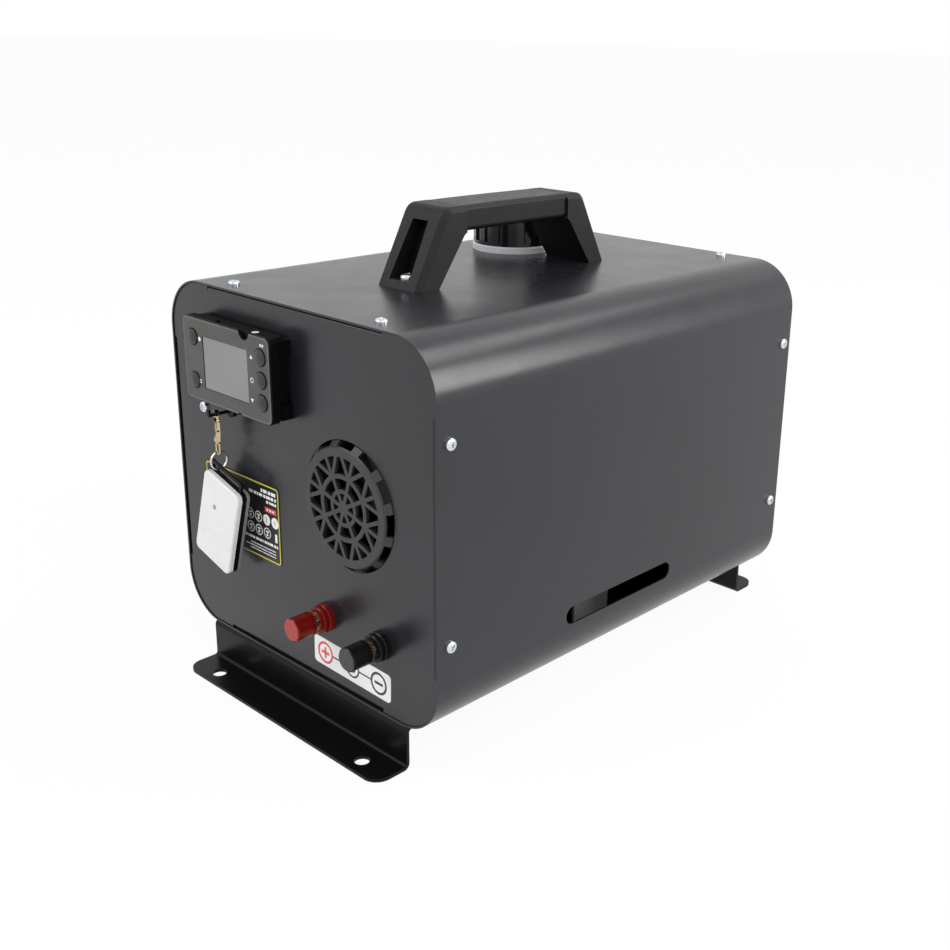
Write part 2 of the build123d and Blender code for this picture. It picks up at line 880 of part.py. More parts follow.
# ================================================================ terminals
collar_depth = collar_base_depth + collar_groove + collar_top_depth + collar_neck


def terminal_plane(x):
    return facing_front(x, panel_y, mid_z + terminal_z)


def make_terminal_base(x):
    """Insulating collar between the post and the panel."""
    place = terminal_plane(x)
    groove = collar_base_depth + collar_groove
    shoulder = groove + collar_top_depth
    section = make_face(
        Polyline(
            (stud_r + thread_clearance, 0),
            (collar_base_r, 0),
            (collar_base_r, collar_base_depth - collar_edge),
            (collar_base_r - collar_edge, collar_base_depth),
            (collar_groove_r, collar_base_depth),
            (collar_groove_r, groove),
            (collar_top_r, groove),
            (collar_top_r, shoulder - collar_edge),
            (collar_top_r - collar_edge, shoulder),
            (collar_neck_r, shoulder),
            (collar_neck_r, collar_depth),
            (stud_r + thread_clearance, collar_depth),
            close=True,
        )
    )
    return place * revolve(Plane.XZ * section, Axis.Z)


def make_terminal_post(x):
    """Threaded stud with its neck ring outside and its nut inside the panel."""
    place = terminal_plane(x)
    start = collar_depth
    body = disc(place, stud_r, -casing_sheet - stud_inside, terminal_reach - knob_top)
    body += disc(place, neck_ring_r, start, start + neck_ring_depth)
    nut = RegularPolygon(nut_r, 6)
    return body + slab(place, nut, -casing_sheet - nut_height, -casing_sheet)


def make_terminal_knob(x):
    """Fluted cap nut that clamps the wire."""
    place = terminal_plane(x)
    start = collar_depth + neck_ring_depth + knob_gap
    body = disc(place, knob_r, start, terminal_reach)
    body = chamfer(body.edges().group_by(Axis.Y)[0], knob_edge)
    flutes = Sketch()
    for spot in PolarLocations(knob_r, knob_flutes):
        flutes += spot * Circle(knob_flute_r)
    body -= slab(place, flutes, start - 1, start + knob_flute_length)
    return body - disc(place, stud_r + knob_bore_gap, start - 1, terminal_reach - knob_top + stud_end_gap)


# ================================================================ intake grille
def bar_between(start, end, width):
    """A straight bar in the sketch plane from one point to another."""
    run = hypot(end[0] - start[0], end[1] - start[1])
    angle = degrees(atan2(end[1] - start[1], end[0] - start[0]))
    middle = ((start[0] + end[0]) / 2, (start[1] + end[1]) / 2)
    return Pos(*middle) * Rot(0, 0, angle) * Rectangle(run, width)


def polar(radius, angle):
    return (radius * cos(radians(angle)), radius * sin(radians(angle)))


def grille_pattern():
    """Hub, three rings, spokes and the fans of struts that carry the rim."""
    pattern = Circle(rim_outer_r) - Circle(rim_inner_r)
    for radius, bar in ((inner_ring_r, inner_ring_bar), (mid_ring_r, mid_ring_bar)):
        pattern += Circle(radius + bar / 2) - Circle(radius - bar / 2)
    pattern += Circle(hub_r)
    pitch = 360 / grille_spokes
    rim_middle = (rim_inner_r + rim_outer_r) / 2
    for index in range(grille_spokes):
        angle = grille_start + index * pitch
        pattern += bar_between(polar(0, 0), polar(rim_middle, angle), grille_bar)
        for lean in (-1, 1):
            foot = polar(mid_ring_r, angle)
            tip = polar(rim_middle, angle + lean * pitch * grille_strut_lean)
            pattern += bar_between(foot, tip, grille_bar)
    return pattern


def make_intake_grille():
    """Moulded cap: patterned face, flared rim broken by windows, and a skirt to the heater."""
    body = slab(DUCT, grille_pattern(), grille_face - grille_thickness, grille_face)
    flare_end = grille_face - skirt_flare
    back = panel_recess - case_front
    section = make_face(
        Polyline(
            (rim_outer_r - skirt_wall, grille_face),
            (rim_outer_r, grille_face),
            (skirt_r, flare_end),
            (skirt_r, back),
            (skirt_r - skirt_wall, back),
            (skirt_r - skirt_wall, flare_end),
            (rim_outer_r - skirt_wall, grille_face - grille_thickness),
            close=True,
        )
    )
    turned = revolve(Plane.XZ * section, Axis.Z)
    skirt = DUCT * turned
    pitch = 360 / grille_tabs
    window_arc = skirt_r + 6
    for index in range(grille_tabs):
        middle = grille_tab_start + (index + 0.5) * pitch
        half = pitch / 2 - degrees(grille_tab_width / 2 / skirt_r)
        wedge = make_face(
            Polyline(
                (0, 0),
                polar(window_arc, middle - half),
                polar(window_arc, middle + half),
                close=True,
            )
        )
        cut = wedge - Circle(rim_outer_r - grille_tab_lap)
        skirt -= slab(DUCT, cut, -skirt_window, grille_face - grille_tab_drop)
    return body + skirt


# ================================================================ heater unit
case_y0 = front_y + case_front
case_y1 = case_y0 + case_length
fan_y = case_y0 + wheel_gap


def case_section(inset):
    return RectangleRounded(
        case_width - 2 * inset, case_height - 2 * inset, case_corner_r - inset
    )


def along_duct(y):
    """Plane across the heater's axis, facing forwards."""
    return facing_front(duct_x, y, mid_z + duct_z)


def make_heater_case(upper):
    """One half of the plastic case round the heat exchanger."""
    back = along_duct(case_y1)
    body = slab(back, case_section(0), 0, case_length)
    body -= slab(back, case_section(case_wall), case_wall, case_length - case_wall)
    body -= slab(back, Circle(skirt_r - skirt_wall), case_length - 2 * case_wall, case_length + 1)
    body -= slab(back, Circle(outlet_r - outlet_wall), -1, 2 * case_wall)
    z = mid_z + duct_z + (1 if upper else -1) * shell_height / 2
    body &= Pos(duct_x, (case_y0 + case_y1) / 2, z) * Box(
        2 * case_width, 2 * case_length, shell_height
    )
    if upper:
        return body
    for y in (burner_air_y, exhaust_y):
        body -= Pos(duct_x, y, mid_z + duct_z - case_height / 2) * Cylinder(
            pipe_outer_r + pipe_clearance, 4 * case_wall
        )
    return body


def fan_blade():
    """A twisted blade lofted from its root to its tip, on the local X axis."""
    sections = []
    for radius, pitch, chord in (
        (wheel_hub_r - blade_root_sink, blade_root_pitch, blade_root_chord),
        (wheel_tip_r, blade_tip_pitch, blade_chord),
    ):
        frame = Plane(origin=(radius, 0, 0), x_dir=(0, 1, 0), z_dir=(1, 0, 0))
        sections.append(frame * Rot(0, 0, pitch) * RectangleRounded(
            chord, blade_thickness, blade_thickness * 0.45
        ))
    return loft(sections, ruled=True)


pipe_top = mid_z + duct_z - exchanger_fin_r - exchanger_pipe_gap
motor_y0 = fan_y + wheel_depth + motor_gap
motor_y1 = motor_y0 + motor_length
burner_y0 = motor_y1 + bulkhead


def make_fan_wheel():
    """Blower wheel, shaft and combustion impeller, which turn as one piece."""
    hub = along_duct(fan_y + wheel_depth)
    body = disc(hub, wheel_hub_r, 0, wheel_depth)
    body = fillet(body.edges().group_by(Axis.Y)[0], wheel_edge_r)
    centre = along_duct(fan_y + wheel_depth / 2)
    for index in range(wheel_blades):
        body += centre * Rot(0, 0, index * 360 / wheel_blades) * fan_blade()
    shaft_end = burner_y0 + burner_room / 2
    body += disc(along_duct(shaft_end), shaft_r, 0, shaft_end - fan_y - wheel_depth / 2)
    impeller = along_duct(shaft_end)
    body += disc(impeller, burner_wheel_r, 0, burner_wheel_disc)
    vanes = Sketch()
    for index in range(burner_vanes):
        angle = index * 360 / burner_vanes
        tip = polar(burner_wheel_r - burner_vane_inset, angle + burner_vane_sweep)
        vanes += bar_between(polar(shaft_r, angle), tip, burner_vane)
    return body + slab(impeller, vanes, 0, burner_vane_depth)


def make_fan_motor():
    body = disc(along_duct(motor_y1), motor_r, 0, motor_length)
    body = chamfer(body.edges().group_by(Axis.Y)[0], motor_edge)
    return body - disc(along_duct(motor_y1), shaft_r + shaft_gap, -1, motor_length + 1)


def make_heat_exchanger():
    """Cast body with long cooling fins and the plate that carries the motor."""
    plate_back = along_duct(motor_y1 + bulkhead)
    vents = PolarLocations(exchanger_vent_reach, 4, 45) * Circle(exchanger_vent_r)
    plate = case_section(case_wall) - vents
    body = slab(plate_back, plate, 0, bulkhead)
    end = burner_y0 + exchanger_length
    back = along_duct(end)
    body += disc(back, exchanger_core_r, 0, exchanger_length)
    fins = Sketch()
    for index in range(exchanger_fins):
        angle = index * 360 / exchanger_fins
        fins += bar_between(
            polar(exchanger_core_r - exchanger_fin_root, angle), polar(exchanger_fin_r, angle), exchanger_fin
        )
    body += slab(back, fins, exchanger_fin_inset, exchanger_length - burner_room - exchanger_fin_inset)
    body -= disc(along_duct(burner_y0 + burner_room), burner_wheel_r + burner_wheel_gap, 0, burner_room)
    body -= disc(along_duct(burner_y0), shaft_r + shaft_gap, -1, bulkhead + 1)
    for y in (burner_air_y, exhaust_y):
        length = mid_z + duct_z - pipe_top
        body += Pos(duct_x, y, pipe_top + length / 2) * Cylinder(pipe_outer_r + pipe_boss_wall, length)
    return body


def make_pipe_stub(y):
    """Steel pipe stub from the casting down through the casing's floor."""
    length = pipe_top - pipe_floor_gap
    body = Pos(duct_x, y, pipe_floor_gap + length / 2) * Cylinder(pipe_outer_r, length)
    bore = Pos(duct_x, y, pipe_floor_gap) * Cylinder(pipe_outer_r - pipe_wall, 2 * (length - pipe_end))
    collar_z = shell_bottom - pipe_plate - panel_gap - pipe_collar
    collar = tube(Plane(origin=(duct_x, y, collar_z)), pipe_collar_r, pipe_outer_r, 0, pipe_collar)
    return body + collar - bore


def make_pipe_plate():
    """Cover plate under the casing that the two pipe stubs pass through."""
    middle = (burner_air_y + exhaust_y) / 2
    length = exhaust_y - burner_air_y + 2 * (pipe_outer_r + pipe_plate_margin)
    width = 2 * (pipe_outer_r + pipe_plate_margin)
    place = Plane(origin=(duct_x, middle, shell_bottom - pipe_plate))
    body = slab(place, RectangleRounded(width, length, pipe_plate_corner_r), 0, pipe_plate)
    for y in (burner_air_y, exhaust_y):
        body -= Pos(duct_x, y, shell_bottom) * Cylinder(pipe_outer_r + pipe_clearance / 2, 4 * pipe_plate)
    return body


def make_heater_bracket():
    """Two bent stands that carry the heater case over the casing's floor."""
    top = mid_z + duct_z - case_height / 2
    stands = []
    for y in bracket_ys:
        outline = Polyline(
            (-bracket_span - bracket_foot, inner_bottom),
            (-bracket_span, inner_bottom),
            (-bracket_span, top - bracket_sheet),
            (bracket_span, top - bracket_sheet),
            (bracket_span, inner_bottom),
            (bracket_span + bracket_foot, inner_bottom),
            (bracket_span + bracket_foot, inner_bottom + bracket_sheet),
            (bracket_span + bracket_sheet, inner_bottom + bracket_sheet),
            (bracket_span + bracket_sheet, top),
            (-bracket_span - bracket_sheet, top),
            (-bracket_span - bracket_sheet, inner_bottom + bracket_sheet),
            (-bracket_span - bracket_foot, inner_bottom + bracket_sheet),
            close=True,
        )
        place = facing_front(duct_x, y, 0)
        stands.append(extrude(place * make_face(outline), bracket_width / 2, both=True))
    return Compound(children=stands)


def make_outlet_spigot():
    """Hot-air spigot with its flange outside the rear panel."""
    inward = rear_panel_y - case_y1
    reach = outlet_reach + panel_recess
    section = make_face(
        Polyline(
            (outlet_r - outlet_wall, -inward),
            (outlet_r - outlet_tail_step, -inward),
            (outlet_r - outlet_tail_step, 0),
            (outlet_flange_r, 0),
            (outlet_flange_r, outlet_flange),
            (outlet_r, outlet_flange),
            (outlet_r, reach),
            (outlet_r - outlet_wall, reach),
            close=True,
        )
    )
    body = REAR_DUCT * revolve(Plane.XZ * section, Axis.Z)
    return drill(body, outlet_screw_places(), screw_r + screw_clearance, 3 * outlet_flange)


# ================================================================ fuel pump
pump_z = inner_bottom + pump_lift + pump_r


def make_fuel_pump():
    """Dosing pump with a hose nipple on each end."""
    axis = facing_front(pump_x, pump_y, pump_z)
    half = pump_length / 2
    body = disc(axis, pump_r, -half, half)
    body = chamfer(body.edges().filter_by(GeomType.CIRCLE), pump_edge)
    return body + disc(axis, pump_nose_r, -half - pump_nose, half + pump_nose)


def make_pump_clamp():
    """Rubber-lined saddle that holds the pump off the casing's floor."""
    base = Pos(pump_x, pump_y, inner_bottom + pump_lift / 2 + pump_r / 2) * Box(
        2 * pump_r, pump_clamp_width, pump_lift + pump_r
    )
    axis = Plane(
        origin=(pump_x, pump_y - pump_clamp_width / 2, pump_z), x_dir=(1, 0, 0), z_dir=(0, 1, 0)
    )
    body = base + disc(axis, pump_r + pump_clamp_wall, 0, pump_clamp_width)
    return body - disc(axis, pump_r, -1, pump_clamp_width + 1)


# ================================================================ hook, clip, ring
chain_y = panel_y - hang_depth
hook_z = mid_z + clip_z_top - hook_outer_r
peg_z = hook_z + hook_inner_r - peg_r - peg_gap
eye_z = hook_z - clip_body_bottom - eye_drop
eye_pin_z = eye_z - eye_straight / 2 - eye_bend
ring_z = eye_pin_z + eye_wire_r + hang_gap + ring_wire_r - ring_r
strap_pivot_z = ring_z - ring_r
gate_x = (hook_inner_r + hook_outer_r) / 2


def clip_plane():
    """Plane of the clip, which hangs turned round the vertical, through the hook's centre."""
    across = Vector(cos(radians(clip_turn)), sin(radians(clip_turn)), 0)
    return Plane(origin=(hang_x, chain_y, hook_z), x_dir=across, z_dir=across.cross(Vector(0, 0, 1)))


def make_key_peg():
    """Small hook on the panel, under the controller."""
    base = facing_front(hang_x, panel_y, peg_z)
    body = disc(base, peg_base_r, 0, peg_base)
    body += disc(base, peg_r, 0, peg_reach)
    tip = slab(base, Pos(0, peg_tip_rise / 2) * RectangleRounded(
        2 * peg_r, 2 * peg_r + peg_tip_rise, peg_r * 0.9
    ), peg_reach - peg_tip, peg_reach)
    return body + tip


gate_pivot = (gate_pivot_x, -gate_pivot_drop)


def make_clip_hook():
    """Lobster clip: hook, body with its window, gate slot with pin, and the swivel's bore."""
    half = clip_thickness / 2
    mouth_reach = 3 * hook_outer_r
    mouth = make_face(
        Polyline(
            (0, 0),
            polar(mouth_reach, hook_mouth_top),
            (mouth_reach, 0),
            (mouth_reach, -mouth_reach),
            (hook_mouth_x, -mouth_reach),
            close=True,
        )
    )
    shape = Circle(hook_outer_r) - Circle(hook_inner_r) - mouth
    neck = clip_neck_width / 2
    side = clip_body_width / 2
    plate = make_face(
        Polyline(
            (-neck, -clip_body_top),
            (-side, -clip_widest),
            (-neck, -clip_body_bottom),
            (neck, -clip_body_bottom),
            (side, -clip_widest),
            (neck, -clip_body_top),
            close=True,
        )
    )
    shape += plate - Circle(hook_inner_r)
    window = Pos(0, -(clip_window_top + clip_window_bottom) / 2) * Rectangle(
        clip_window_width, clip_window_bottom - clip_window_top
    )
    front = clip_plane()
    barrel = Pos(hang_x, chain_y, hook_z - clip_body_bottom + clip_barrel / 2) * Cylinder(
        clip_barrel_r, clip_barrel
    )
    body = slab(front, shape, -half, half) + barrel
    body -= slab(front, window, -clip_barrel_r - 1, clip_barrel_r + 1)
    slot_top = clip_body_top - 1
    slot_bottom = gate_pivot_drop + gate_hub_r + 2 * gate_slack
    slot = Pos(clip_body_width / 2, -(slot_top + slot_bottom) / 2) * Rectangle(
        clip_body_width, slot_bottom - slot_top
    )
    slot_half = gate_width / 2 + gate_slack
    body -= slab(front, slot, -slot_half, slot_half)
    body += slab(front, Pos(*gate_pivot) * Circle(gate_pin_r), -half, half)
    bore = Pos(hang_x, chain_y, hook_z - clip_body_bottom) * Cylinder(
        swivel_stem_r + hang_gap, 2 * (clip_body_bottom - clip_window_bottom) + 1
    )
    return body - bore


def make_clip_gate():
    """Spring gate that closes the hook."""
    tip = hook_inner_r * 0.5
    bar = Pos(gate_x, (tip - gate_pivot_drop) / 2) * Rectangle(gate_width, tip + gate_pivot_drop)
    shape = bar + Pos(*gate_pivot) * Circle(gate_hub_r)
    shape += Pos(gate_x + gate_lug_r, -gate_lug_drop) * Circle(gate_lug_r)
    shape -= Pos(*gate_pivot) * Circle(gate_pin_r + hang_gap)
    return slab(clip_plane(), shape, -gate_width / 2, gate_width / 2)


def eye_loop():
    """A tall oval loop of round wire, upright and facing forwards."""
    reach = 2 * (eye_bend + eye_wire_r)
    loop = Plane.XZ * Torus(eye_bend, eye_wire_r)
    halves = []
    for end in (-1, 1):
        bend = loop & (Pos(0, 0, end * reach / 2) * Box(2 * reach, reach, reach))
        halves.append(Pos(0, 0, end * eye_straight / 2) * bend)
        halves.append(Pos(end * eye_bend, 0, 0) * Cylinder(eye_wire_r, eye_straight))
    return halves[0] + halves[1:]


def make_clip_swivel():
    """Turning eye under the clip."""
    seat = hook_z - clip_window_bottom
    head = Pos(hang_x, chain_y, seat + hang_gap + swivel_head / 2) * Cylinder(
        swivel_head_r, swivel_head
    )
    stem_bottom = eye_z + eye_straight / 2 + eye_bend
    stem_length = seat + hang_gap + swivel_head / 2 - stem_bottom
    stem = Pos(hang_x, chain_y, stem_bottom + stem_length / 2) * Cylinder(
        swivel_stem_r, stem_length
    )
    return head + stem + Pos(hang_x, chain_y, eye_z) * eye_loop()


def make_split_ring():
    return Plane(origin=(hang_x, chain_y, ring_z), x_dir=(0, 1, 0), z_dir=(1, 0, 0)) * Torus(
        ring_r, ring_wire_r
    )


# ================================================================ remote
fob_pivot_u = fob_height / 2 + strap_rise
fob_tilt = degrees(atan2(strap_offset, fob_pivot_u))
fob_drop = hypot(strap_offset, fob_pivot_u)
fob_plane = Plane(
    origin=(hang_x, chain_y, strap_pivot_z - fob_drop),
    x_dir=(cos(radians(fob_tilt)), 0, -sin(radians(fob_tilt))),
    z_dir=(0, -1, 0),
)
fob_outline = RectangleRounded(fob_width, fob_height, fob_corner_r)


def make_fob_frame():
    """Middle frame with the round strap bar that the ring passes under."""
    half = fob_frame_depth / 2
    body = slab(fob_plane, fob_outline, -half, half)
    rod_u = fob_pivot_u + ring_wire_r + strap_gap + strap_rod_r
    rod = Plane(
        origin=fob_plane.from_local_coords((strap_left, rod_u, 0)), z_dir=fob_plane.x_dir
    )
    body += disc(rod, strap_rod_r, -strap_rod_r, strap_right - strap_left + strap_rod_r)
    for x in (strap_left, strap_right):
        post = Pos(x, (rod_u + fob_height / 2) / 2) * Rectangle(
            2 * strap_rod_r, rod_u - fob_height / 2 + 2
        )
        body += slab(fob_plane, post, -fob_post_depth / 2, fob_post_depth / 2)
    return body


def make_fob_rear_cover():
    """Smooth cover that faces away from the panel."""
    half = fob_frame_depth / 2
    body = slab(fob_plane, fob_outline, half, half + fob_cover_depth)
    return fillet(body.edges().group_by(Axis.Y)[0], fob_edge_r)


fob_keys = {
    "fob_key_on": (-fob_key_pitch_x / 2, fob_key_pitch_z / 2),
    "fob_key_off": (fob_key_pitch_x / 2, fob_key_pitch_z / 2),
    "fob_key_up": (-fob_key_pitch_x / 2, -fob_key_pitch_z / 2),
    "fob_key_down": (fob_key_pitch_x / 2, -fob_key_pitch_z / 2),
}


def make_fob_front_cover():
    """Cover with the keys, on the side that hangs towards the panel."""
    half = fob_frame_depth / 2
    body = slab(fob_plane, fob_outline, -half - fob_front_depth, -half)
    body = fillet(body.edges().group_by(Axis.Y)[-1], fob_edge_r / 2)
    for x, u in fob_keys.values():
        hole = Pos(x, u) * Circle(fob_key_r + fob_key_gap)
        body -= slab(fob_plane, hole, -half - fob_front_depth - 1, -half)
        pocket = Pos(x, u) * Circle(fob_key_flange_r + fob_key_gap)
        body -= slab(fob_plane, pocket, -half - fob_key_pocket, -half)
    return body


def make_fob_key(x, u):
    seat = -fob_frame_depth / 2 - fob_key_pocket + fob_key_gap + fob_key_flange
    back = Plane(
        origin=fob_plane.from_local_coords((x, u, seat)),
        x_dir=fob_plane.x_dir,
        z_dir=(0, 1, 0),
    )
    length = fob_front_depth + seat + fob_frame_depth / 2
    return back * domed_key(fob_key_r, fob_key_rise, length, fob_key_flange_r, fob_key_flange)


# ================================================================ all nodes
nodes = {
    "shell": make_shell(),
    "front_panel": make_front_panel(),
    "rear_panel": make_rear_panel(),
    "front_foot": make_foot(-1),
    "rear_foot": make_foot(1),
    "casing_screws": Compound(children=at_each(casing_screw_places(), casing_screw())),
    "foot_screws": Compound(children=at_each(foot_screw_places(), casing_screw())),
    "panel_screw": FRONT * Pos(panel_screw_x, panel_screw_z) * casing_screw(),
    "handle_body": make_handle_body(),
    "handle_grip": make_handle_grip(),
    "handle_screws": Compound(
        children=at_each(
            handle_screw_places(),
            pan_screw(
                handle_screw_r, handle_screw_head_r, handle_screw_head_height, handle_screw_length
            ),
        )
    ),
    "fuel_tank": make_fuel_tank(),
    "filler_collar": make_filler_collar(),
    "filler_cap": make_filler_cap(),
    "controller_cradle": make_cradle(),
    "controller_case": make_controller_case(),
    "controller_bezel": make_controller_bezel(),
    "lcd_window": make_lcd_window(),
    "info_label": make_info_label(),
    "polarity_label": make_polarity_label(),
    "intake_grille": make_intake_grille(),
    "heater_case_lower": make_heater_case(False),
    "heater_case_upper": make_heater_case(True),
    "fan_wheel": make_fan_wheel(),
    "fan_motor": make_fan_motor(),
    "heat_exchanger": make_heat_exchanger(),
    "exhaust_stub": make_pipe_stub(exhaust_y),
    "burner_air_stub": make_pipe_stub(burner_air_y),
    "pipe_plate": make_pipe_plate(),
    "heater_bracket": make_heater_bracket(),
    "outlet_spigot": make_outlet_spigot(),
    "outlet_screws": Compound(children=at_each(outlet_screw_places(), casing_screw())),
    "fuel_pump": make_fuel_pump(),
    "pump_clamp": make_pump_clamp(),
    "key_peg": make_key_peg(),
    "clip_hook": make_clip_hook(),
    "clip_gate": make_clip_gate(),
    "clip_swivel": make_clip_swivel(),
    "split_ring": make_split_ring(),
    "fob_frame": make_fob_frame(),
    "fob_rear_cover": make_fob_rear_cover(),
    "fob_front_cover": make_fob_front_cover(),
}
for name, x in zip(("red", "black"), terminal_x):
    nodes[f"terminal_base_{name}"] = make_terminal_base(x)
    nodes[f"terminal_post_{name}"] = make_terminal_post(x)
    nodes[f"terminal_knob_{name}"] = make_terminal_knob(x)
for name, (x, z) in unit_keys.items():
    nodes[name] = make_unit_key(x, z)
for name, (x, u) in fob_keys.items():
    nodes[name] = make_fob_key(x, u)

for name, solid in nodes.items():
    export_step(solid, f"parts/{name}.step")
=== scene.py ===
"""Finishes, printed marks and small fasteners of a portable diesel air heater, and its studio."""

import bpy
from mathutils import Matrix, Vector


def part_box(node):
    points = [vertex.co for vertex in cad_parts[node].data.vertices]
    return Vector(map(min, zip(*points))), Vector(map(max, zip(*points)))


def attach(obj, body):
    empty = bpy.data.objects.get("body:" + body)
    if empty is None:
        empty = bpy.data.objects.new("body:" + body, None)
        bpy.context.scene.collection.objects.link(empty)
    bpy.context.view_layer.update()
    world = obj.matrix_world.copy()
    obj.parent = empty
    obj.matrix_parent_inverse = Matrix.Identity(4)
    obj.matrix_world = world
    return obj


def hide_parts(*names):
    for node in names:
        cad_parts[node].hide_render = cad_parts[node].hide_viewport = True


bl_info = {
    "name": "Diesel Air Heater Looks",
    "version": (1, 0, 0),
    "blender": (4, 5, 0),
    "location": "3D View > Sidebar > Heater",
    "description": "Paint, plastics, screws, labels and studio for a portable diesel air heater",
    "category": "Object",
}

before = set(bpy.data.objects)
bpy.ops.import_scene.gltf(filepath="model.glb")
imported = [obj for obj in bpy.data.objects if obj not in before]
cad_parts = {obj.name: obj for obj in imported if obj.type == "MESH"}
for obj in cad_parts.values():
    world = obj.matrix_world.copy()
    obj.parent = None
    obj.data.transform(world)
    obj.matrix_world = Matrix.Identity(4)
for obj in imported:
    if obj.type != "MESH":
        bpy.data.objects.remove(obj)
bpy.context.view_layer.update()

from math import atan2, cos, pi, radians, sin

import bmesh
import bpy
from bpy.props import FloatProperty, FloatVectorProperty, PointerProperty
from mathutils import Matrix, Vector

MM = 0.001
shell_low, shell_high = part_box("shell")
panel_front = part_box("front_panel")[0].y
bezel_low, bezel_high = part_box("controller_bezel")
lcd_low, lcd_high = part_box("lcd_window")
knob_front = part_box("terminal_knob_red")[0].y


def colour_setting(name, description, default):
    """A colour that the sidebar shows as a swatch."""
    return FloatVectorProperty(
        name=name, description=description, default=default, subtype="COLOR", min=0.0, max=1.0
    )


def length_setting(name, description, default):
    """A length that the sidebar shows in the scene's units."""
    return FloatProperty(
        name=name, description=description, default=default, min=0.0,
        subtype="DISTANCE", unit="LENGTH",
    )


def number_setting(name, description, default):
    """A plain number for the sidebar."""
    return FloatProperty(name=name, description=description, default=default)


def vector_setting(name, description, subtype, default):
    """A place or a direction."""
    return FloatVectorProperty(
        name=name, description=description, default=default, subtype=subtype
    )


# ---- settings
class HeaterFinishes(bpy.types.PropertyGroup):
    """Colours of the heater's paint, plastics and metals."""

    paint: colour_setting("Casing paint", "Black powder coat", (0.011, 0.011, 0.0145))
    handle: colour_setting("Handle", "Grained handle plastic", (0.006, 0.0057, 0.0057))
    grip: colour_setting("Grip", "Soft insert of the handle", (0.004, 0.0038, 0.0038))
    cap: colour_setting("Filler cap", "Glossy black cap", (0.008, 0.008, 0.009))
    collar: colour_setting("Collar", "Pale ring under the cap", (0.62, 0.63, 0.66))
    controller: colour_setting("Controller", "Controller face", (0.052, 0.05, 0.046))
    screen: colour_setting("Screen", "Switched-off display", (0.17, 0.17, 0.17))
    print_white: colour_setting("White print", "Marks on labels and controller", (0.86, 0.86, 0.85))
    label_black: colour_setting(
        "Label ground", "Ground of the information label", (0.006, 0.006, 0.006)
    )
    label_line: colour_setting("Label line", "Outline of the information label", (0.6, 0.52, 0.05))
    label_red: colour_setting("Label red", "Red patch and plus mark", (0.72, 0.07, 0.06))
    post_red: colour_setting("Red post", "Plastic of the positive post", (0.15, 0.004, 0.003))
    # The two end colours below paint a highlight on each knob's end face.
    post_red_highlight: colour_setting("Red face", "Painted highlight on the red knob's end", (0.36, 0.05, 0.045))
    post_black_highlight: colour_setting("Black face", "Painted highlight on the black knob's end", (0.05, 0.05, 0.05))
    post_black: colour_setting("Black post", "Plastic of the negative post", (0.005, 0.005, 0.005))
    remote: colour_setting("Remote cover", "White cover of the remote", (0.74, 0.74, 0.735))
    remote_back: colour_setting("Remote back", "Grey cover of the remote", (0.2, 0.2, 0.205))
    clip: colour_setting("Clip", "Pale plated clip", (0.56, 0.46, 0.29))


class HeaterDetails(bpy.types.PropertyGroup):
    """Sizes of the details that the printed marks and the fasteners have."""

    casing_head: length_setting("Casing screw", "Radius of a casing screw's head", 3.5 * MM)
    handle_head: length_setting("Handle screw", "Radius of a handle screw's head", 4.8 * MM)
    recess_arm: length_setting("Recess arm", "Width of a cross recess's arm", 0.85 * MM)
    print_rise: length_setting("Print", "How far a printed mark stands proud", 0.04 * MM)
    lamp_up: length_setting(
        "Lamp height", "How far the remote's lamp is above the cover's middle", 10.0 * MM
    )
    lamp_across: FloatProperty(
        name="Lamp offset", description="How far the remote's lamp is to the side",
        default=-0.5 * MM, subtype="DISTANCE", unit="LENGTH",
    )
    film_rise: length_setting("Face film", "Thickness of the controller's face film", 0.06 * MM)
    # The dark edge shows the near-black bezel round the film, partly as painted shade on its
    # rounded edge.
    film_edge: length_setting("Film edge", "Dark edge round the controller's face film", 0.55 * MM)
    # A light line of painted highlight along the rounded edge of the controller's face.
    rim_line: length_setting(
        "Rim line", "Width of the light line round the controller's face", 0.35 * MM
    )
    # Wider than the key, so that the near-black bezel shows round each key as a ring of painted
    # shadow in its gap.
    key_hole: length_setting("Key opening", "Radius of the film's opening round a key", 5.35 * MM)
    label_border: length_setting("Label border", "Width of the information label's line", 0.9 * MM)
    icon_ring: length_setting("Icon", "Radius of the information label's round marks", 3.5 * MM)


class HeaterStudio(bpy.types.PropertyGroup):
    """Camera and lamps of the studio."""

    camera_place: vector_setting(
        "Camera", "Where the camera stands", "XYZ", (0.54785, -0.55772, 0.39682)
    )
    camera_right: vector_setting(
        "Right", "Direction to the right of the frame", "DIRECTION", (0.7344, 0.67837, 0.02178)
    )
    camera_up: vector_setting(
        "Up", "Direction to the top of the frame", "DIRECTION", (-0.23059, 0.21919, 0.94804)
    )
    lens: number_setting("Lens", "Focal length in millimetres", 46.555)
    shift_across: number_setting(
        "Shift across", "Sideways shift of the frame that the crop needs", -0.0684
    )
    shift_up: number_setting("Shift up", "Upward shift of the frame that the crop needs", -0.0358)
    tall_light: number_setting("Tall light", "Brightness of the tall softbox", 9.5)
    high_light: number_setting("High light", "Brightness of the high softbox", 3.5)
    side_light: number_setting("Side light", "Brightness of the side softbox", 2.5)
    front_light: number_setting("Front light", "Brightness of the front softbox", 3.8)
    fill: number_setting("Fill", "Strength of the white surroundings", 0.7)
    floor_glow: number_setting("Floor", "Share of the floor that shows as plain white", 0.94)


# ---- finishes
NOISE_LOW, NOISE_HIGH = 0.3, 0.7  # nearly all of a noise lies between these
RAMP_LOW, RAMP_HIGH = 0.35, 0.65
KNOB_FACE_DEPTH = 0.3 * MM


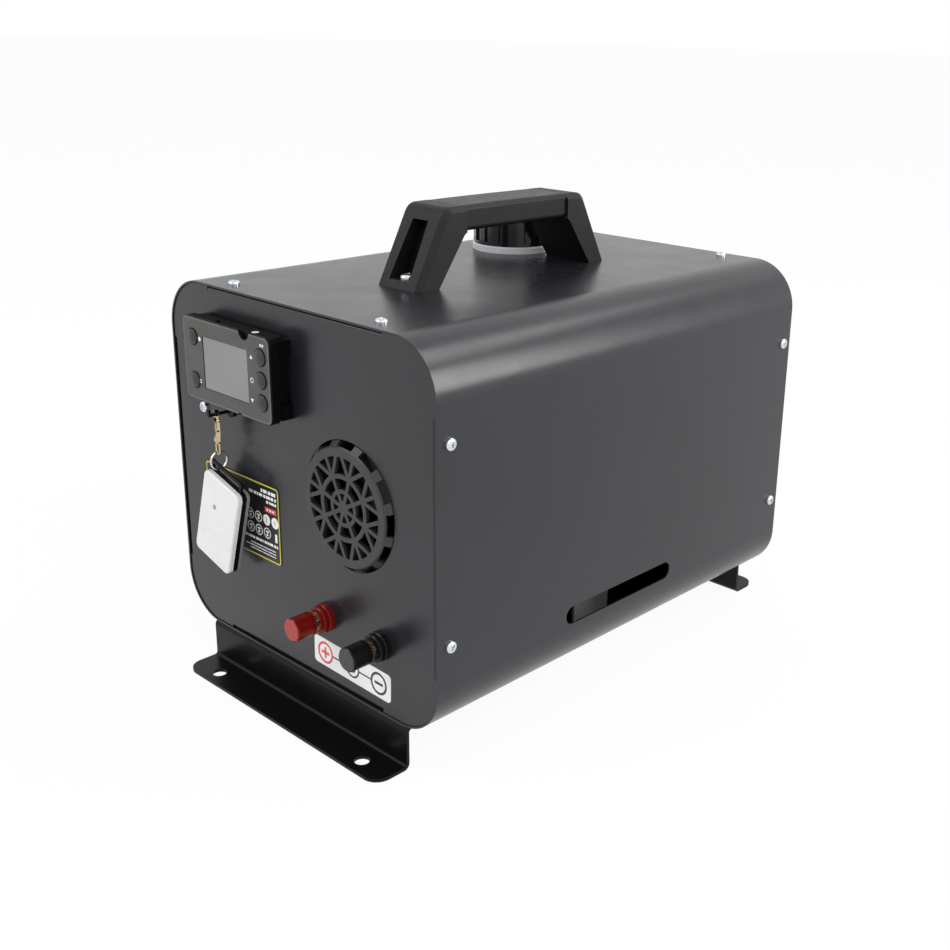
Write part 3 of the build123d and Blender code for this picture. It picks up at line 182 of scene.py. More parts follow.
def new_finish(name, colour, roughness, metallic=0.0, gloss=0.5):
    """A material with its shader's own values set, ready for texture nodes."""
    finish = bpy.data.materials.new(name)
    finish.use_nodes = True
    shader = finish.node_tree.nodes["Principled BSDF"]
    shader.inputs["Base Color"].default_value = (*colour, 1.0)
    shader.inputs["Roughness"].default_value = roughness
    shader.inputs["Metallic"].default_value = metallic
    shader.inputs["Specular IOR Level"].default_value = gloss
    return finish


def tree_of(finish):
    """The nodes and the links of a finish."""
    return finish.node_tree.nodes, finish.node_tree.links


def place_texture(finish):
    """Object coordinates, shared by all the textures of a finish."""
    nodes = finish.node_tree.nodes
    found = nodes.get("Place") or nodes.new("ShaderNodeTexCoord")
    found.name = "Place"
    return found.outputs["Object"]


def add_noise(finish, scale, detail=3.0, stretch=(1.0, 1.0, 1.0)):
    """Noise of a scale in object coordinates."""
    nodes, links = tree_of(finish)
    mapping = nodes.new("ShaderNodeMapping")
    mapping.inputs["Scale"].default_value = stretch
    links.new(place_texture(finish), mapping.inputs["Vector"])
    noise = nodes.new("ShaderNodeTexNoise")
    noise.inputs["Scale"].default_value = scale
    noise.inputs["Detail"].default_value = detail
    links.new(mapping.outputs["Vector"], noise.inputs["Vector"])
    return noise.outputs["Fac"]


def add_bump(finish, height, depth):
    """Relief from a texture; bumps added later lie on the earlier ones."""
    nodes, links = tree_of(finish)
    shader = nodes["Principled BSDF"]
    bump = nodes.new("ShaderNodeBump")
    bump.inputs["Strength"].default_value = 1.0
    bump.inputs["Distance"].default_value = depth
    links.new(height, bump.inputs["Height"])
    earlier = shader.inputs["Normal"].links
    if earlier:
        links.new(earlier[0].from_socket, bump.inputs["Normal"])
    links.new(bump.outputs["Normal"], shader.inputs["Normal"])


def spread(finish, value, socket, low, high):
    """Varies one of the shader's sockets between two values by a texture."""
    nodes, links = tree_of(finish)
    span = nodes.new("ShaderNodeMapRange")
    span.inputs["From Min"].default_value = NOISE_LOW
    span.inputs["From Max"].default_value = NOISE_HIGH
    span.inputs["To Min"].default_value = low
    span.inputs["To Max"].default_value = high
    links.new(value, span.inputs["Value"])
    links.new(span.outputs["Result"], nodes["Principled BSDF"].inputs[socket])


def mottle(finish, value, dark, light):
    """Varies the colour a little between two shades."""
    nodes, links = tree_of(finish)
    ramp = nodes.new("ShaderNodeValToRGB")
    ramp.color_ramp.elements[0].position = RAMP_LOW
    ramp.color_ramp.elements[0].color = (*dark, 1.0)
    ramp.color_ramp.elements[1].position = RAMP_HIGH
    ramp.color_ramp.elements[1].color = (*light, 1.0)
    links.new(value, ramp.inputs["Fac"])
    links.new(ramp.outputs["Color"], nodes["Principled BSDF"].inputs["Base Color"])


def shade(colour, factor):
    """A colour made darker or lighter."""
    return tuple(min(1.0, part * factor) for part in colour)


def textured(
    name, colour, roughness, patches, relief, haze=None, metallic=0.0, gloss=0.5,
    stretch=(1.0, 1.0, 1.0),
):
    """A finish with patches of colour, a haze in its roughness and a fine relief.

    patches is (noise scale, darkest, lightest), each entry of relief is (noise scale, detail,
    depth in millimetres), and haze is (noise scale, less, more).
    """
    finish = new_finish(name, colour, roughness, metallic, gloss)
    scale, darkest, lightest = patches
    mottle(finish, add_noise(finish, scale), shade(colour, darkest), shade(colour, lightest))
    if haze:
        scale, less, more = haze
        spread(finish, add_noise(finish, scale), "Roughness", roughness - less, roughness + more)
    for scale, detail, depth in relief:
        add_bump(finish, add_noise(finish, scale, detail, stretch), depth * MM)
    return finish


def powder_coat(name, colour, roughness, gloss=0.5):
    """Semi-gloss powder coat: fine orange peel, and a haze that comes and goes."""
    return textured(
        name, colour, roughness, patches=(9.0, 0.9, 1.12), haze=(35.0, 0.02, 0.03),
        relief=((420.0, 1.0, 0.003), (2600.0, 1.0, 0.0015)), gloss=gloss,
    )


def moulded_plastic(name, colour, roughness, grain, grain_scale=1800.0, gloss=0.5):
    """Moulded plastic with an even spark-eroded grain."""
    return textured(
        name, colour, roughness, patches=(60.0, 0.92, 1.08), haze=(220.0, 0.04, 0.04),
        relief=((grain_scale, 4.0, grain),), gloss=gloss,
    )


def gloss_plastic(name, colour, roughness, gloss=0.5):
    """Polished moulding with faint flow waves and fine handling marks."""
    return textured(
        name, colour, roughness, patches=(45.0, 0.975, 1.025), haze=(160.0, 0.02, 0.03),
        relief=((120.0, 1.0, 0.002),), gloss=gloss,
    )


def plated_metal(name, colour, roughness):
    """Plated steel with drawn streaks and slight clouding."""
    return textured(
        name, colour, roughness, patches=(180.0, 0.93, 1.05), haze=(420.0, 0.04, 0.06),
        relief=((1500.0, 2.0, 0.003),), metallic=1.0, stretch=(1.0, 1.0, 0.25),
    )


def cast_metal(name, colour, roughness):
    """As-cast aluminium with a pebbled skin."""
    return textured(
        name, colour, roughness, patches=(60.0, 0.88, 1.06), haze=(300.0, 0.06, 0.08),
        relief=((700.0, 3.0, 0.012),), metallic=1.0,
    )


def printed_ink(name, colour):
    """Flat printed ink with a trace of screen texture."""
    return textured(
        name, colour, 0.42, patches=(900.0, 0.93, 1.0), relief=((3000.0, 1.0, 0.003),)
    )


def knurl_glint_metal(name, light, dark, roughness):
    """Brass whose knurl shows as painted glints: bright points of painted highlight on a ground of
    painted shade in the grooves.
    """
    finish = new_finish(name, light, roughness, metallic=1.0)
    mottle(finish, add_noise(finish, 900.0, 1.0), dark, light)
    spread(finish, add_noise(finish, 420.0), "Roughness", roughness - 0.05, roughness + 0.1)
    add_bump(finish, add_noise(finish, 900.0, 1.0), 0.05 * MM)
    return finish


def painted_highlight_end(finish, place, colour):
    """A lighter colour on everything in front of a place along Y, which paints a highlight on a
    knob's end face.
    """
    nodes, links = tree_of(finish)
    base = nodes["Principled BSDF"].inputs["Base Color"]
    split = nodes.new("ShaderNodeSeparateXYZ")
    links.new(place_texture(finish), split.inputs["Vector"])
    front = nodes.new("ShaderNodeMath")
    front.operation = "LESS_THAN"
    front.inputs[1].default_value = place
    links.new(split.outputs["Y"], front.inputs[0])
    mix = nodes.new("ShaderNodeMix")
    mix.data_type = "RGBA"
    links.new(front.outputs["Value"], mix.inputs["Factor"])
    links.new(base.links[0].from_socket, mix.inputs["A"])
    mix.inputs["B"].default_value = (*colour, 1.0)
    links.new(mix.outputs["Result"], base)
    return finish


def glass_screen(name, colour):
    """Switched-off display behind a clear window."""
    finish = new_finish(name, colour, 0.22)
    shader = finish.node_tree.nodes["Principled BSDF"]
    shader.inputs["Coat Weight"].default_value = 0.6
    shader.inputs["Coat Roughness"].default_value = 0.12
    mottle(finish, add_noise(finish, 18.0, 0.0), shade(colour, 0.94), shade(colour, 1.06))
    add_bump(finish, add_noise(finish, 60.0, 0.0), 0.004 * MM)
    return finish


def make_finishes(look):
    """Every finish by its name."""
    knob_end = knob_front + KNOB_FACE_DEPTH
    return {
        "paint": powder_coat("Casing powder coat", look.paint, roughness=0.28),
        # The casing paint made much darker for the feet: painted shade.
        "foot_paint": powder_coat(
            "Foot powder coat", shade(look.paint, 0.12), roughness=0.3, gloss=0.15
        ),
        "handle": moulded_plastic(
            "Grained handle plastic", look.handle,
            roughness=0.5, grain=0.03, grain_scale=1500.0, gloss=0.24,
        ),
        "grip": moulded_plastic(
            "Soft grip rubber", look.grip,
            roughness=0.42, grain=0.01, grain_scale=2600.0, gloss=0.22,
        ),
        "cap": gloss_plastic("Glossy cap plastic", look.cap, roughness=0.14),
        "collar": moulded_plastic("Pale collar plastic", look.collar, roughness=0.45, grain=0.02),
        "tank": moulded_plastic(
            "Milky tank plastic", (0.66, 0.66, 0.6), roughness=0.42, grain=0.04, grain_scale=900.0
        ),
        "controller": moulded_plastic(
            "Controller face film", look.controller, roughness=0.42, grain=0.01, grain_scale=2400.0
        ),
        # Near-black: partly the controller's own black plastic, partly painted shade on its sides.
        "cradle": moulded_plastic(
            "Cradle plastic", (0.002, 0.002, 0.0022), roughness=0.4, grain=0.02, gloss=0.12
        ),
        "keys": moulded_plastic(
            "Key rubber", shade(look.controller, 0.32),
            roughness=0.45, grain=0.01, grain_scale=2400.0,
        ),
        # Light line of painted highlight along the rounded edge of the controller's face.
        "rim_line": moulded_plastic(
            "Rim line", shade(look.controller, 3.2), roughness=0.35, grain=0.005, grain_scale=2400.0
        ),
        "screen": glass_screen("Display", look.screen),
        "white_ink": printed_ink("White ink", look.print_white),
        "black_ink": printed_ink("Black ink", (0.03, 0.03, 0.03)),
        "red_ink": printed_ink("Red ink", look.label_red),
        "line_ink": printed_ink("Yellow-green ink", look.label_line),
        "label_black": printed_ink("Black label film", look.label_black),
        "label_white": printed_ink("White label film", (0.86, 0.865, 0.87)),
        "grille": moulded_plastic(
            "Grille plastic", (0.022, 0.022, 0.023), roughness=0.45, grain=0.03
        ),
        "inner_plastic": moulded_plastic(
            "Heater case plastic", (0.016, 0.016, 0.017),
            roughness=0.5, grain=0.05, grain_scale=900.0,
        ),
        "fan": moulded_plastic("Fan plastic", (0.02, 0.02, 0.021), roughness=0.4, grain=0.02),
        # Each knob's lighter end is a painted highlight.
        "post_red": painted_highlight_end(
            gloss_plastic("Red post plastic", look.post_red, roughness=0.24, gloss=0.2),
            knob_end, look.post_red_highlight,
        ),
        "post_black": painted_highlight_end(
            gloss_plastic("Black post plastic", look.post_black, roughness=0.26, gloss=0.2),
            knob_end, look.post_black_highlight,
        ),
        # The knurl's glints and groove shade are painted on a smooth post.
        "post_metal": knurl_glint_metal(
            "Knurled post", light=(0.8, 0.6, 0.36), dark=(0.03, 0.02, 0.015), roughness=0.25
        ),
        "zinc": plated_metal("Bright zinc", (0.66, 0.7, 0.75), roughness=0.24),
        "dull_zinc": moulded_plastic(
            "Dull zinc sheet", (0.34, 0.34, 0.35), roughness=0.6, grain=0.004, grain_scale=700.0
        ),
        "steel": plated_metal("Plain steel", (0.42, 0.42, 0.42), roughness=0.34),
        "cast": cast_metal("Cast aluminium", (0.5, 0.5, 0.51), roughness=0.5),
        "rubber": moulded_plastic(
            "Black rubber", (0.012, 0.012, 0.012), roughness=0.6, grain=0.04, grain_scale=1200.0
        ),
        "remote": gloss_plastic("White remote cover", look.remote, roughness=0.25),
        "remote_lamp": gloss_plastic("Remote lamp", (0.3, 0.3, 0.26), roughness=0.3),
        "remote_frame": gloss_plastic(
            "Black remote frame", (0.002, 0.002, 0.002), roughness=0.22, gloss=0.14
        ),
        "remote_back": gloss_plastic("Grey remote cover", look.remote_back, roughness=0.3),
        "clip": plated_metal("Pale clip plating", look.clip, roughness=0.18),
        "ring": plated_metal("Bright ring plating", (0.7, 0.68, 0.63), roughness=0.2),
    }


NODE_FINISHES = {
    "paint": ("shell", "front_panel", "rear_panel"),
    "foot_paint": ("front_foot", "rear_foot"),
    "handle": ("handle_body",),
    "grip": ("handle_grip",),
    "cap": ("filler_cap",),
    "collar": ("filler_collar",),
    "tank": ("fuel_tank",),
    "cradle": ("controller_bezel", "controller_cradle", "controller_case", "key_peg"),
    "keys": (
        "key_settings", "key_mode", "key_up", "key_power", "key_down",
        "fob_key_on", "fob_key_off", "fob_key_up", "fob_key_down",
    ),
    "screen": ("lcd_window",),
    "label_black": ("info_label",),
    "label_white": ("polarity_label",),
    "grille": ("intake_grille",),
    "inner_plastic": ("heater_case_lower", "heater_case_upper", "fuel_pump"),
    "fan": ("fan_wheel",),
    "post_red": ("terminal_base_red", "terminal_knob_red"),
    "post_black": ("terminal_base_black", "terminal_knob_black"),
    "post_metal": ("terminal_post_red", "terminal_post_black"),
    "steel": ("fan_motor", "exhaust_stub", "burner_air_stub", "outlet_spigot", "pipe_plate"),
    "dull_zinc": ("heater_bracket",),
    "zinc": ("casing_screws", "foot_screws", "panel_screw", "handle_screws", "outlet_screws"),
    "cast": ("heat_exchanger",),
    "rubber": ("pump_clamp",),
    "remote": ("fob_rear_cover",),
    "remote_frame": ("fob_frame",),
    "remote_back": ("fob_front_cover",),
    "clip": ("clip_hook", "clip_gate", "clip_swivel"),
    "ring": ("split_ring",),
}


def wear_finish(piece, *finishes):
    """Gives a piece its finishes, the first on every face unless the mesh says otherwise."""
    piece.data.materials.clear()
    for finish in finishes:
        piece.data.materials.append(finish)


# ---- places on the casing
def turned(x_axis, y_axis, z_axis, place):
    """Matrix that lays the local axes along the given directions at a place."""
    return Matrix((
        (x_axis[0], y_axis[0], z_axis[0], place[0]),
        (x_axis[1], y_axis[1], z_axis[1], place[1]),
        (x_axis[2], y_axis[2], z_axis[2], place[2]),
        (0.0, 0.0, 0.0, 1.0),
    ))


def on_front(x, z, y):
    return turned((1, 0, 0), (0, 0, 1), (0, -1, 0), (x, y, z))


def on_rear(x, z, y):
    return turned((-1, 0, 0), (0, 0, 1), (0, 1, 0), (x, y, z))


def on_right(y, z, x):
    return turned((0, 1, 0), (0, 0, 1), (1, 0, 0), (x, y, z))


def on_left(y, z, x):
    return turned((0, -1, 0), (0, 0, 1), (-1, 0, 0), (x, y, z))


def on_top(x, y, z):
    return Matrix.Translation((x, y, z))


def from_below(x, y, z):
    return turned((1, 0, 0), (0, -1, 0), (0, 0, -1), (x, y, z))


# ---- modelling steps
SMOOTH_ANGLE = radians(30)
RING_SIDES = 48


def clear_selection():
    if bpy.context.object and bpy.context.object.mode != "OBJECT":
        bpy.ops.object.mode_set(mode="OBJECT")
    bpy.ops.object.select_all(action="DESELECT")


def choose(piece):
    """Selects one piece alone and makes it the active one."""
    clear_selection()
    bpy.context.view_layer.objects.active = piece
    piece.select_set(True)


def edit_all():
    """Enters edit mode with everything selected."""
    bpy.ops.object.mode_set(mode="EDIT")
    bpy.ops.mesh.select_all(action="SELECT")


def named(name):
    """The primitive that was just added, under its own name."""
    piece = bpy.context.object
    piece.name = name
    piece.data.name = name
    return piece


def pick_faces(piece, wanted):
    """In edit mode, selects only the faces that the test accepts."""
    bpy.ops.mesh.select_mode(type="FACE")
    shape = bmesh.from_edit_mesh(piece.data)
    for face in shape.faces:
        face.select_set(wanted(face))
    shape.select_flush_mode()
    bmesh.update_edit_mesh(piece.data)


def raise_faces(rise):
    bpy.ops.mesh.extrude_region_move(TRANSFORM_OT_translate={"value": (0.0, 0.0, rise)})


def shrink(factor):
    bpy.ops.transform.resize(value=(factor, factor, 1.0), center_override=(0.0, 0.0, 0.0))


def close_shape():
    """Leaves edit mode with clean doubles, outward normals and smooth round faces."""
    bpy.ops.mesh.select_all(action="SELECT")
    bpy.ops.mesh.remove_doubles(threshold=1e-7)
    bpy.ops.mesh.normals_make_consistent(inside=False)
    bpy.ops.object.mode_set(mode="OBJECT")
    bpy.ops.object.shade_smooth_by_angle(angle=SMOOTH_ANGLE)


def disc(name, radius, depth, vertices=40):
    """A flat round mark that stands on the local origin."""
    clear_selection()
    bpy.ops.mesh.primitive_cylinder_add(
        vertices=vertices, radius=radius, depth=depth, location=(0, 0, depth / 2)
    )
    piece = named(name)
    bpy.ops.object.transform_apply(location=True)
    bpy.ops.object.shade_smooth_by_angle(angle=SMOOTH_ANGLE)
    return piece


def line_of(width, depth):
    """In edit mode, turns the selected face into a raised line along its border."""
    bpy.ops.mesh.inset(thickness=width, depth=0.0)
    bpy.ops.mesh.delete(type="FACE")
    bpy.ops.mesh.select_all(action="SELECT")
    raise_faces(depth)
    close_shape()


def ring(name, outer, inner, depth):
    """A flat round line: a disc's faces are inset and the middle is taken out."""
    clear_selection()
    bpy.ops.mesh.primitive_circle_add(vertices=RING_SIDES, radius=outer, fill_type="NGON")
    piece = named(name)
    edit_all()
    line_of(outer - inner, depth)
    return piece


def rectangle(name, width, height, corner, segments=6):
    """A rounded rectangular face, left in edit mode with everything selected."""
    clear_selection()
    bpy.ops.mesh.primitive_plane_add(size=1.0)
    piece = named(name)
    piece.scale = (width, height, 1.0)
    bpy.ops.object.transform_apply(scale=True)
    edit_all()
    if corner > 0:
        bpy.ops.mesh.bevel(offset=corner, segments=segments, affect="VERTICES")
        bpy.ops.mesh.select_all(action="SELECT")
    return piece


def plate(name, width, height, corner, depth, segments=6):
    """A rounded rectangle with a thickness."""
    piece = rectangle(name, width, height, corner, segments)
    raise_faces(depth)
    close_shape()
    return piece


def outline(name, width, height, corner, line, depth):
    """A rounded rectangular line."""
    piece = rectangle(name, width, height, corner)
    line_of(line, depth)
    return piece


def lay(piece, matrix, finish):
    """Puts a piece's place into its mesh and gives it its finish."""
    piece.data.transform(matrix)
    piece.matrix_world = Matrix.Identity(4)
    wear_finish(piece, finish)
    return piece


def copy_of(piece, matrix):
    """A copy with its own mesh, moved by a matrix."""
    twin = piece.copy()
    twin.data = piece.data.copy()
    bpy.context.scene.collection.objects.link(twin)
    twin.data.transform(matrix)
    return twin


def joined(name, parts, body):
    """Joins parts into one piece that rides on a body."""
    clear_selection()
    for part in parts:
        part.select_set(True)
    bpy.context.view_layer.objects.active = parts[0]
    if len(parts) > 1:
        bpy.ops.object.join()
    piece = named(name)
    bpy.ops.object.shade_smooth_by_angle(angle=SMOOTH_ANGLE)
    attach(piece, body)
    return piece


def cut_away(piece, cutters):
    """Takes cutters out of a piece and removes them."""
    for cutter in cutters:
        cut = piece.modifiers.new("Opening", "BOOLEAN")
        cut.object = cutter
        cut.operation = "DIFFERENCE"
        cut.solver = "EXACT"
        choose(piece)
        bpy.ops.object.modifier_apply(modifier=cut.name)
        bpy.data.objects.remove(cutter)


# ---- screws
SCREW_HEAD_HEIGHT = 2.4 * MM
HANDLE_HEAD_HEIGHT = 3.2 * MM
SHOULDER_SHARE = 0.4  # of a head's height, below its dome
DOME_STEPS = 5
DOME_POWER = 0.6  # under 1 gives a flatter dome with a rounder edge
RECESS_REACH = 0.62  # of the head's radius
RECESS_DEPTH = 0.62  # of the head's height
RECESS_TAPER = (0.45, 0.7, 1.0)  # of a bar's length, width and depth, at its tip
FIRST_TURN = 20.0  # degrees
PLACE_DIGITS = 5  # of a metre, so that rounding can't change the order of the screws


def cross_cutter(arm, reach, depth):
    """Two tapered bars crossed, which cut a cross recess."""
    clear_selection()
    bpy.ops.mesh.primitive_cube_add(size=1.0)
    bar = named("recess_bar")
    bar.scale = (2 * reach, arm, 2 * depth)
    bpy.ops.object.transform_apply(scale=True)
    bpy.ops.object.mode_set(mode="EDIT")
    pick_faces(bar, lambda face: face.normal.z < -0.5)
    bpy.ops.transform.resize(value=RECESS_TAPER, center_override=(0, 0, 0))
    bpy.ops.object.mode_set(mode="OBJECT")
    cross = copy_of(bar, Matrix.Rotation(pi / 2, 4, "Z"))
    return bar, cross


def pan_head_screw(name, head, height, shank, length, arm):
    """A pan-head screw with a domed head and a cross recess, on the local Z axis."""
    clear_selection()
    shoulder = SHOULDER_SHARE * height
    bpy.ops.mesh.primitive_cylinder_add(
        vertices=48, radius=head, depth=shoulder, location=(0, 0, shoulder / 2)
    )
    piece = named(name)
    bpy.ops.object.transform_apply(location=True)
    bpy.ops.object.mode_set(mode="EDIT")
    pick_faces(piece, lambda face: face.normal.z > 0.5)
    dome = height - shoulder
    wide = 1.0
    for step in range(1, DOME_STEPS + 1):
        angle = pi / 2 * step / (DOME_STEPS + 1)
        raise_faces(dome * (sin(angle) - sin(pi / 2 * (step - 1) / (DOME_STEPS + 1))))
        shrink(cos(angle) ** DOME_POWER / wide)
        wide = cos(angle) ** DOME_POWER
    pick_faces(piece, lambda face: face.normal.z < -0.5)
    bpy.ops.mesh.inset(thickness=head - shank, depth=0.0)
    raise_faces(-length)
    close_shape()
    cutters = cross_cutter(arm, RECESS_REACH * head, RECESS_DEPTH * height)
    for cutter in cutters:
        cutter.data.transform(Matrix.Translation((0, 0, height)))
    cut_away(piece, cutters)
    choose(piece)
    bpy.ops.object.shade_smooth_by_angle(angle=SMOOTH_ANGLE)
    return piece


def on_casing(low, high):
    """Seat of a casing screw, on the side where its head stands out."""
    middle = (low + high) / 2
    if high.z > shell_high.z:
        return on_top(middle.x, middle.y, shell_high.z)
    if high.x > shell_high.x:
        return on_right(middle.y, middle.z, shell_high.x)
    return on_left(middle.y, middle.z, shell_low.x)


def under_foot(low, high):
    middle = (low + high) / 2
    return from_below(middle.x, middle.y, low.z + SCREW_HEAD_HEIGHT)


def on_panel(low, high):
    middle = (low + high) / 2
    return on_front(middle.x, middle.z, panel_front)


def on_outlet(low, high):
    middle = (low + high) / 2
    return on_rear(middle.x, middle.z, high.y - SCREW_HEAD_HEIGHT)


def in_handle(low, high):
    middle = (low + high) / 2
    return on_top(middle.x, middle.y, high.z - HANDLE_HEAD_HEIGHT)


def island_places(node, facing):
    """Matrices for the solids of a CAD group of fasteners, in the order of their places."""
    shape = bmesh.new()
    shape.from_mesh(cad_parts[node].data)
    bmesh.ops.remove_doubles(shape, verts=shape.verts, dist=1e-6)
    left = set(shape.verts)
    spots = []
    while left:
        found = {left.pop()}
        edge = list(found)
        while edge:
            linked = [e.other_vert(v) for v in edge for e in v.link_edges]
            edge = [v for v in set(linked) if v in left]
            found.update(edge)
            left.difference_update(edge)
        points = [v.co for v in found]
        low = Vector(map(min, *points))
        high = Vector(map(max, *points))
        spots.append((low, high))
    shape.free()
    spots.sort(key=lambda spot: tuple(round(part, PLACE_DIGITS) for part in spot[0]))
    return [facing(low, high) for low, high in spots]


def replace_screws(name, node, master, places, finish, turn):
    """Copies of the master screw in place of a CAD group, each turned its own way."""
    parts = []
    for index, place in enumerate(places):
        spin = Matrix.Rotation(radians(turn * index + FIRST_TURN), 4, "Z")
        part = copy_of(master, place @ spin)
        wear_finish(part, finish)
        parts.append(part)
    piece = joined(name, parts, "heater")
    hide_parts(node)


class HEATER_OT_finishes(bpy.types.Operator):
    """Give every piece of the heater its paint, plastic or metal"""

    bl_idname = "heater.finishes"
    bl_label = "Finishes"

    def execute(self, context):
        finishes = make_finishes(context.scene.heater_finishes)
        context.scene["heater_finish_names"] = {k: v.name for k, v in finishes.items()}
        for key, names in NODE_FINISHES.items():
            for name in names:
                wear_finish(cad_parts[name], finishes[key])
        return {"FINISHED"}


def finish_named(key):
    """A finish that the finishes operator has made."""
    return bpy.data.materials[bpy.context.scene["heater_finish_names"][key]]


class HEATER_OT_screws(bpy.types.Operator):
    """Model the pan-head screws of the casing, feet, handle, panel and outlet"""

    bl_idname = "heater.screws"
    bl_label = "Screws"

    def execute(self, context):
        size = context.scene.heater_details
        zinc = finish_named("zinc")
        small = pan_head_screw(
            "casing_screw", size.casing_head, SCREW_HEAD_HEIGHT,
            shank=2 * MM, length=8 * MM, arm=size.recess_arm,
        )
        large = pan_head_screw(
            "handle_screw", size.handle_head, HANDLE_HEAD_HEIGHT,
            shank=2.5 * MM, length=13 * MM, arm=size.recess_arm,
        )
        for name, node, master, facing, turn in (
            ("casing_screw_set", "casing_screws", small, on_casing, 37.0),
            ("foot_screw_set", "foot_screws", small, under_foot, 51.0),
            ("panel_screw_set", "panel_screw", small, on_panel, 15.0),
            ("outlet_screw_set", "outlet_screws", small, on_outlet, 29.0),
            ("handle_screw_set", "handle_screws", large, in_handle, 40.0),
        ):
            replace_screws(name, node, master, island_places(node, facing), zinc, turn)
        bpy.data.objects.remove(small)
        bpy.data.objects.remove(large)
        return {"FINISHED"}


# ---- controller face
FILM_CORNER = 4.0 * MM
RIM_CORNER = 3.5 * MM
RIM_RISE = 1.4  # of the film's thickness
CUT_DROP = 2  # film thicknesses that a cutter starts below the film
CUT_DEPTH = 6  # film thicknesses that a cutter is deep
WINDOW_GAP = 0.2 * MM
WINDOW_CORNER = 0.5 * MM
NOTCH_X = 19.2 * MM  # from the controller's middle, in its top edge
NOTCH_R = 5.1 * MM
BITE_X = 12.0 * MM  # from the controller's middle, in its bottom edge
BITE_SIZE = (3.8 * MM, 3.0 * MM)
CONTROLLER_KEYS = ("key_settings", "key_mode", "key_up", "key_power", "key_down")


class HEATER_OT_controller_face(bpy.types.Operator):
    """Lay the controller's face film, with its openings, and a light line of painted highlight
    along its rim
    """

    bl_idname = "heater.controller_face"
    bl_label = "Controller Face"

    def execute(self, context):
        size = context.scene.heater_details
        face = bezel_low.y
        middle_x = (bezel_low.x + bezel_high.x) / 2
        middle_z = (bezel_low.z + bezel_high.z) / 2
        width = bezel_high.x - bezel_low.x
        height = bezel_high.z - bezel_low.z
        edge = size.film_edge
        deep = CUT_DEPTH * size.film_rise
        film = plate(
            "face_film", width - 2 * edge, height - 2 * edge, FILM_CORNER, size.film_rise
        )
        # A light line of painted highlight along the face's rounded edge.
        line = outline(
            "face_rim_line", width - 4 * edge, height - 4 * edge, RIM_CORNER,
            size.rim_line, size.film_rise * RIM_RISE,
        )

        def moved(cutter, x, z):
            cutter.data.transform(Matrix.Translation((x, z, -CUT_DROP * size.film_rise)))
            return cutter

        openings = []
        # The wide openings round the keys show the near-black bezel as rings of painted shadow.
        for name in CONTROLLER_KEYS:
            low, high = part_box(name)
            middle = (low + high) / 2
            hole = disc("key_hole", size.key_hole, deep, 48)
            openings.append(moved(hole, middle.x - middle_x, middle.z - middle_z))
        window = plate(
            "window_hole", lcd_high.x - lcd_low.x + 2 * WINDOW_GAP,
            lcd_high.z - lcd_low.z + 2 * WINDOW_GAP, WINDOW_CORNER, deep, 3,
        )
        window_x = (lcd_low.x + lcd_high.x) / 2 - middle_x
        window_z = (lcd_low.z + lcd_high.z) / 2 - middle_z
        openings.append(moved(window, window_x, window_z))
        for piece, cutters in ((film, openings), (line, [])):
            cutters.append(moved(disc("notch_hole", NOTCH_R, deep, 48), NOTCH_X, height / 2))
            cutters.append(moved(plate("bite_hole", *BITE_SIZE, 0, deep), BITE_X, -height / 2))
            cut_away(piece, cutters)
        lay(film, on_front(middle_x, middle_z, face), finish_named("controller"))
        lay(line, on_front(middle_x, middle_z, face), finish_named("rim_line"))
        joined("controller_film", [film, line], "heater")
        return {"FINISHED"}


# ---- controller marks
# Places are in millimetres to the right of and above the controller's middle.
HEAT_DOT = (-25.7, 12.8)
HEAT_DOT_R = 1.25 * MM
MODE_BAR = (-27.2, -13.8)
MODE_BAR_SIZE = (2.0 * MM, 0.45 * MM)
MODE_BAR_PITCH = 0.9
UP_ARROW = (25.5, 11.6)
DOWN_ARROW = (24.7, -13.3)
ARROW_R = 1.5 * MM
POWER_SIGN = (25.3, -1.6)
POWER_LOOP_R = 1.5 * MM
POWER_LOOP_INNER_R = 1.08 * MM
POWER_GAP = radians(32)
POWER_STROKE = (0.42 * MM, 1.5 * MM)
POWER_STROKE_UP = 1.2 * MM
CORNER_MARKS = ((35.0, 20.2), (37.0, 20.2))
CORNER_MARK_SIZE = (1.3 * MM, 1.5 * MM)
MARK_CORNER = 0.2 * MM
LAMP_WINDOW_IN = 17.3 * MM  # from the controller's right side
LAMP_WINDOW_BACK = 2.4 * MM  # in front of the bezel's back
LAMP_WINDOW_R = 2.1 * MM
LAMP_WINDOW_RISE = 0.1 * MM


def triangle(name, size, depth, turn):
    """A small arrow head that points up, turned by an angle."""
    clear_selection()
    bpy.ops.mesh.primitive_circle_add(vertices=3, radius=size, fill_type="NGON")
    piece = named(name)
    piece.data.transform(Matrix.Rotation(turn, 4, "Z"))
    edit_all()
    raise_faces(depth)
    close_shape()
    return piece


def power_mark(depth):
    """The usual stand-by sign: an open ring and a stroke."""
    loop = ring("power_loop", POWER_LOOP_R, POWER_LOOP_INNER_R, depth)
    choose(loop)
    bpy.ops.object.mode_set(mode="EDIT")

    def in_gap(face):
        centre = face.calc_center_median()
        return abs(atan2(centre.x, centre.y)) < POWER_GAP

    pick_faces(loop, in_gap)
    bpy.ops.mesh.delete(type="FACE")
    bpy.ops.mesh.select_mode(type="EDGE")
    bpy.ops.mesh.select_all(action="DESELECT")
    bpy.ops.mesh.select_non_manifold()
    bpy.ops.mesh.edge_face_add()
    close_shape()
    stroke = plate("power_stroke", *POWER_STROKE, 0, depth)
    stroke.data.transform(Matrix.Translation((0, POWER_STROKE_UP, 0)))
    return [loop, stroke]


